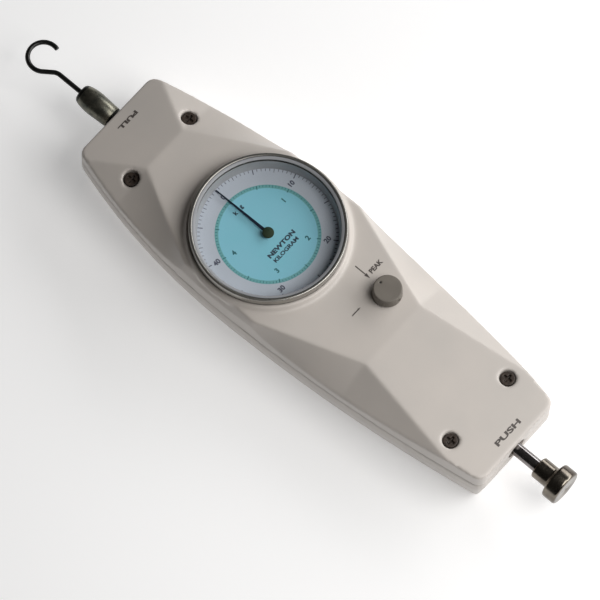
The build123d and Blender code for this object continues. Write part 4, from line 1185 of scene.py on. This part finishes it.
@dataclass
class HookAdapter:
    """The blued barrel screwed on the rod and the bent wire hook in its nose.

    Attributes:
        root: radius next to the case.
        collar: (radius, length) of the dark collar next to the case.
        step: chamfer from the root to the collar.
        edge: chamfer at the collar's end.
        belly: largest radius.
        belly_share: how far along the barrel it is.
        belly_steps: segments of its curve.
        nose: radius of the blunt end.
        longer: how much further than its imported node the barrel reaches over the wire.
        bore: radius of the hole for the rod.
        depth: depth of that hole.
        wire: radius of the wire.
        play: gap round the wire.
        mouth: chamfer of the hole for the wire.
        socket: how deep the wire sits in the nose.
        dark_nose: length of the dark blunt end.
        dark_seam: how far the collar's finish runs on to the root.
        loop: radius of the hook's middle line.
        loop_centre: its centre in plan.
        loop_start: where the shank runs into it, in degrees.
        loop_tip: where it ends.
        loop_steps: segments of the loop.
        bend: radius of the bend before it.
        bend_steps: segments of the bend.
        tip_ease: the two steps in which the wire's end narrows.
    """

    root: float = 4.95
    collar: Point = (4.6, 1.3)
    step: float = 0.35
    edge: float = 0.3
    belly: float = 5.5
    belly_share: float = 0.58
    belly_steps: int = 14
    nose: float = 3.5
    longer: float = 1.7
    bore: float = 3.04
    depth: float = 9.04
    wire: float = 1.1
    play: float = 0.05
    mouth: float = 0.4
    socket: float = 5.0
    dark_nose: float = 1.6
    dark_seam: float = 0.2
    loop: float = 6.99
    loop_centre: Point = (-158.4, 1.65)
    loop_start: float = -53.0
    loop_tip: float = 72.0
    loop_steps: int = 72
    bend: float = 5.0
    bend_steps: int = 8
    tip_ease: Point = (0.1, 0.35)

    def barrel(self) -> bpy.types.Mesh:
        """Turn the barrel, from its nose to the case.

        Returns:
            The barrel, in metres.
        """
        low, high = (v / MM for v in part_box("hook_adapter"))
        length = high.x - low.x + self.longer
        belly = length * (1 - self.belly_share)
        swell = [(self.nose + (self.belly - self.nose) * math.sin(a), belly * (1 - math.cos(a)))
                 for a in quarter(self.belly_steps)]
        root = length - self.collar[1]
        side = [(self.root, root), (self.root - self.step, root + self.step),
                (self.collar[0], root + self.step), (self.collar[0], length - self.edge),
                (self.collar[0] - self.edge, length)]
        hole = self.wire + self.play
        inside = [(self.bore, length), (self.bore, length - self.depth), (0.0, length - self.depth),
                  (0.0, self.socket), (hole, self.socket), (hole, self.mouth), (hole + self.mouth, 0.0)]
        return to_mesh(lathe(swell + side + inside), along_rod(low.x - self.longer))

    def line(self) -> list[Vector]:
        """Lay out the wire: a straight shank, a bend and an open loop.

        Returns:
            Its middle line from inside the nose to its tip, in millimetres.
        """
        height = node_middle("pull_hook").z
        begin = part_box("hook_adapter")[0].x / MM + self.socket - self.longer
        start = math.radians(self.loop_start)
        centre = Vector((*self.loop_centre, height))
        into = centre + self.loop * Vector((math.cos(start), math.sin(start), 0.0))
        corner = into.x + into.y * math.tan(start)    # where the slanted line meets the rod's axis
        turn = math.pi / 2 + start
        run = self.bend * math.tan(turn / 2)
        bend_middle = Vector((corner + run, -self.bend, height))
        line = [Vector((begin, 0.0, height)), Vector(((begin + corner + run) / 2, 0.0, height))]
        for k in range(self.bend_steps + 1):
            a = math.pi / 2 + turn * k / self.bend_steps
            line.append(bend_middle + self.bend * Vector((math.cos(a), math.sin(a), 0.0)))
        sweep = math.radians(self.loop_tip - self.loop_start - 360.0)
        for k in range(self.loop_steps + 1):
            a = start + sweep * k / self.loop_steps
            line.append(centre + self.loop * Vector((math.cos(a), math.sin(a), 0.0)))
        return line

    def hook(self) -> bpy.types.Mesh:
        """Bend the wire and ease its end.

        Returns:
            The hook, in metres.
        """
        line = self.line()
        along = (line[-1] - line[-2]).normalized()
        short, long = self.tip_ease
        line[-1] -= along * long
        line.append(line[-1] + along * (long - short))
        line.append(line[-1] + along * short)
        radii = [self.wire] * (len(line) - 2) + [self.wire - short, self.wire - long]
        return to_mesh(tube(line, radii))

    def build(self) -> None:
        """Make the barrel and the hook."""
        barrel = place_piece("turned_barrel", self.barrel(), Look.BARREL_STEEL, Body.ROD,
                             ["hook_adapter"], smooth_deg=45.0)
        barrel.data.materials.append(Look.BARREL_NOSE.material())
        low, high = (v.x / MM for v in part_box("hook_adapter"))
        steel_from = low - self.longer + self.dark_nose
        steel_to = high - self.collar[1] - self.dark_seam
        for face in barrel.data.polygons:
            if not steel_from < face.center.x / MM < steel_to:
                face.material_index = 1
        place_piece("bent_hook", self.hook(), Look.HOOK_WIRE, Body.ROD, ["pull_hook"],
                    smooth_deg=50.0)


@dataclass(frozen=True)
class EasedPart:
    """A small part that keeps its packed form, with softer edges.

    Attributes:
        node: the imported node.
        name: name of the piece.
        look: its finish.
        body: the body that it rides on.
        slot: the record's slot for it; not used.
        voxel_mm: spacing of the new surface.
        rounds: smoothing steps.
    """

    node: str
    name: str
    look: Look
    body: Body
    slot: str
    voxel_mm: float
    rounds: int

    def build(self) -> None:
        """Make the part."""
        mesh = softened(self.node, self.name, self.voxel_mm * MM, self.rounds)
        place_piece(self.name, mesh, self.look, self.body, [self.node], ALL_SMOOTH)


@dataclass
class SmallParts:
    """The knob with its dot, the pointer's hub and the case screws.

    Attributes:
        parts: the parts with eased edges.
        dot: (radius, thickness) of the dark dot on the knob.
        dot_out: how far from the knob's axis the dot sits.
        dot_below: how far its foot lies below the knob's highest point.
        dot_steps: segments round the dot.
    """

    parts: tuple[EasedPart, ...] = (
        EasedPart("peak_knob", "moulded_knob", Look.KNOB_PLASTIC, Body.KNOB, "knob_plastic", 0.16, 5),
        EasedPart("pointer_hub", "domed_hub", Look.HUB_BRASS, Body.POINTER, "hub_brass", 0.1, 4),
        EasedPart("case_screws", "recessed_screws", Look.DARK_SCREW, Body.CASE, "dark_screw", 0.2, 2),
    )
    dot: Point = (0.66, 0.03)
    dot_out: float = 4.2
    dot_below: float = 0.28
    dot_steps: int = 32

    def build(self) -> None:
        """Make the small parts."""
        for part in self.parts:
            part.build()
        radius, thickness = self.dot
        disc = lathe([(0.0, 0.0), (radius, 0.0), (radius, thickness), (0.0, thickness)], self.dot_steps)
        middle, top = node_middle("peak_knob"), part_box("peak_knob")[1].z / MM
        place = Matrix.Translation((middle.x - self.dot_out, middle.y, top - self.dot_below))
        place_piece("knob_dot", to_mesh(disc, place), Look.KNOB_DOT, Body.KNOB)


@dataclass
class CarriedNodes:
    """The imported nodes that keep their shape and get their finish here.

    Attributes:
        looks: the finish of each material slot.
        own: the finish of a node that differs from its slot's.
    """

    looks: dict[str, Look] = field(default_factory=lambda: {
        "case_paint": Look.CASE_PAINT, "dark_screw": Look.DARK_SCREW, "bronze": Look.BRONZE,
        "plate_brass": Look.PLATE_BRASS, "inner_steel": Look.INNER_STEEL, "spring_steel": Look.SPRING_STEEL,
        "rod_chrome": Look.POLISHED_STEEL, "dark_steel": Look.BARREL_STEEL, "bezel_metal": Look.RIM_METAL,
        "lens_glass": Look.LENS_GLASS, "dial_print": Look.DIAL_WHITE, "pointer_black": Look.POINTER_BLACK,
        "hub_brass": Look.HUB_BRASS, "knob_plastic": Look.KNOB_PLASTIC, "pad_rubber": Look.PAD_RUBBER,
    })
    own: dict[str, Look] = field(default_factory=lambda: {"pull_hook": Look.HOOK_WIRE})

    def build(self) -> None:
        """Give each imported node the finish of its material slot."""
        slots = {s["node"]: s["material_slot"] for s in frame["record"]["subparts"]}
        for node, obj in frame["nodes"].items():
            look = self.own.get(node, self.looks[slots[node]])
            obj.data.materials.clear()
            obj.data.materials.append(look.material())
            LOG.info("%s: %s", node, look.value.name)


# ---------------------------------------------------------------- studio
@dataclass(frozen=True)
class Lamp:
    """A soft rectangular lamp that faces the gauge.

    Attributes:
        name: name of the lamp.
        way: direction from the gauge to the lamp.
        watts: power.
        size_m: width and height in metres.
        colour: its colour.
        distance_m: how far off it is, in metres.
    """

    name: str
    way: Triple
    watts: float
    size_m: Point
    colour: Colour
    distance_m: float

    def hang(self) -> None:
        """Put the lamp in the scene."""
        data = bpy.data.lights.new(self.name, "AREA")
        data.energy = self.watts
        data.shape = "RECTANGLE"
        data.size, data.size_y = self.size_m
        data.color = self.colour
        lamp = bpy.data.objects.new(self.name, data)
        direction = Vector(self.way).normalized()
        lamp.location = direction * self.distance_m
        lamp.rotation_mode = "QUATERNION"
        lamp.rotation_quaternion = (-direction).to_track_quat("-Z", "Y")
        bpy.context.scene.collection.objects.link(lamp)


@dataclass
class Studio:
    """Camera, floor and lights.

    Attributes:
        azimuth: camera's turn round the gauge, in degrees.
        elevation: camera's height, in degrees.
        roll: turn of the picture, in degrees.
        view_width: width that the picture takes in.
        distance: from the camera to the gauge.
        anchor: a point on the rod, from which the picture's middle is set off.
        left: how far left of it the picture's middle is.
        down: how far below it the picture's middle is.
        sensor: width of the camera's sensor.
        clip_m: nearest and farthest distance that the camera takes in, in metres.
        floor_half: half the floor's width.
        floor_z: the floor's height.
        floor_colour: its colour.
        floor_glow: its own light.
        sky_colour: colour of the light from all round.
        sky_strength: strength of that light.
        lamps: the lamps.
    """

    azimuth: float = 36.95
    elevation: float = 68.985
    roll: float = 4.28
    view_width: float = 259.7
    distance: float = 3000.0
    anchor: Triple = (0.0, 0.0, 20.0)
    left: float = 6.24
    down: float = 7.23
    sensor: float = 36.0
    clip_m: Point = (0.1, 20.0)
    floor_half: float = 3000.0
    floor_z: float = -0.3
    floor_colour: Colour = (0.86, 0.86, 0.865)
    floor_glow: float = 0.34
    sky_colour: Colour = (1.0, 0.965, 0.91)
    sky_strength: float = 0.03
    lamps: tuple[Lamp, ...] = (
        Lamp("key", (0.42, 0.78, 0.46), 10.4, (1.7, 0.5), (1.0, 1.0, 1.0), 1.1),
        Lamp("top", (0.62, 0.2, 1.0), 3.1, (0.5, 0.5), (1.0, 0.985, 0.965), 0.75),
    )

    def axes(self) -> tuple[Vector, Vector, Vector]:
        """Work out the camera's directions.

        Returns:
            The picture's right, its up, and the way back to the camera.
        """
        a, e, r = (math.radians(x) for x in (self.azimuth, self.elevation, self.roll))
        back = Vector((math.sin(a) * math.cos(e), -math.cos(a) * math.cos(e), math.sin(e)))
        right = Vector((math.cos(a), math.sin(a), 0.0))
        up = back.cross(right)
        return right * math.cos(r) + up * math.sin(r), up * math.cos(r) - right * math.sin(r), back

    def camera(self) -> None:
        """Place the camera."""
        right, up, back = self.axes()
        target = Vector(self.anchor) - right * self.left - up * self.down
        data = bpy.data.cameras.new("camera")
        data.sensor_width = self.sensor
        data.lens = self.sensor * self.distance / self.view_width
        data.clip_start, data.clip_end = self.clip_m
        camera = bpy.data.objects.new("camera", data)
        turn = Matrix((right, up, back)).transposed().to_4x4()
        camera.matrix_world = Matrix.Translation((target + back * self.distance) * MM) @ turn
        bpy.context.scene.collection.objects.link(camera)
        bpy.context.scene.camera = camera

    def floor(self) -> None:
        """Lay the plain pale floor."""
        made = bmesh.new()
        bmesh.ops.create_grid(made, x_segments=1, y_segments=1, size=self.floor_half)
        mesh = to_mesh(made, Matrix.Translation((0.0, 0.0, self.floor_z)))
        tree = ShaderTree("floor_white")
        tree.set(Base_Color=self.floor_colour, Roughness=0.9, Emission_Color=(1.0, 1.0, 1.0),
                 Emission_Strength=self.floor_glow)
        ground = bpy.data.objects.new("floor", mesh)
        mesh.materials.append(tree.material)
        bpy.context.scene.collection.objects.link(ground)

    def sky(self) -> None:
        """Light the scene softly from all round."""
        world = bpy.data.worlds.new("studio")
        world.use_nodes = True
        background = world.node_tree.nodes["Background"]
        background.inputs["Color"].default_value = (*self.sky_colour, 1.0)
        background.inputs["Strength"].default_value = self.sky_strength
        bpy.context.scene.world = world

    def build(self) -> None:
        """Set up the whole studio."""
        bpy.context.scene.view_settings.view_transform = "Standard"
        self.camera()
        self.floor()
        self.sky()
        for lamp in self.lamps:
            lamp.hang()
            LOG.info("lamp %s: %.1f W", lamp.name, lamp.watts)


def main() -> None:
    """Build every sub-assembly in order."""
    logging.basicConfig(level=logging.INFO, format="%(message)s")
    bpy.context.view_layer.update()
    steps: list[Callable[[], None]] = [
        CarriedNodes().build, CaseShells().build, PushRod().build, LoadSpring().build, HookAdapter().build,
        SmallParts().build, DialPlate().build, Bezel().build, Studio().build,
    ]
    for step in steps:
        step()


if __name__ == "__main__":
    main()
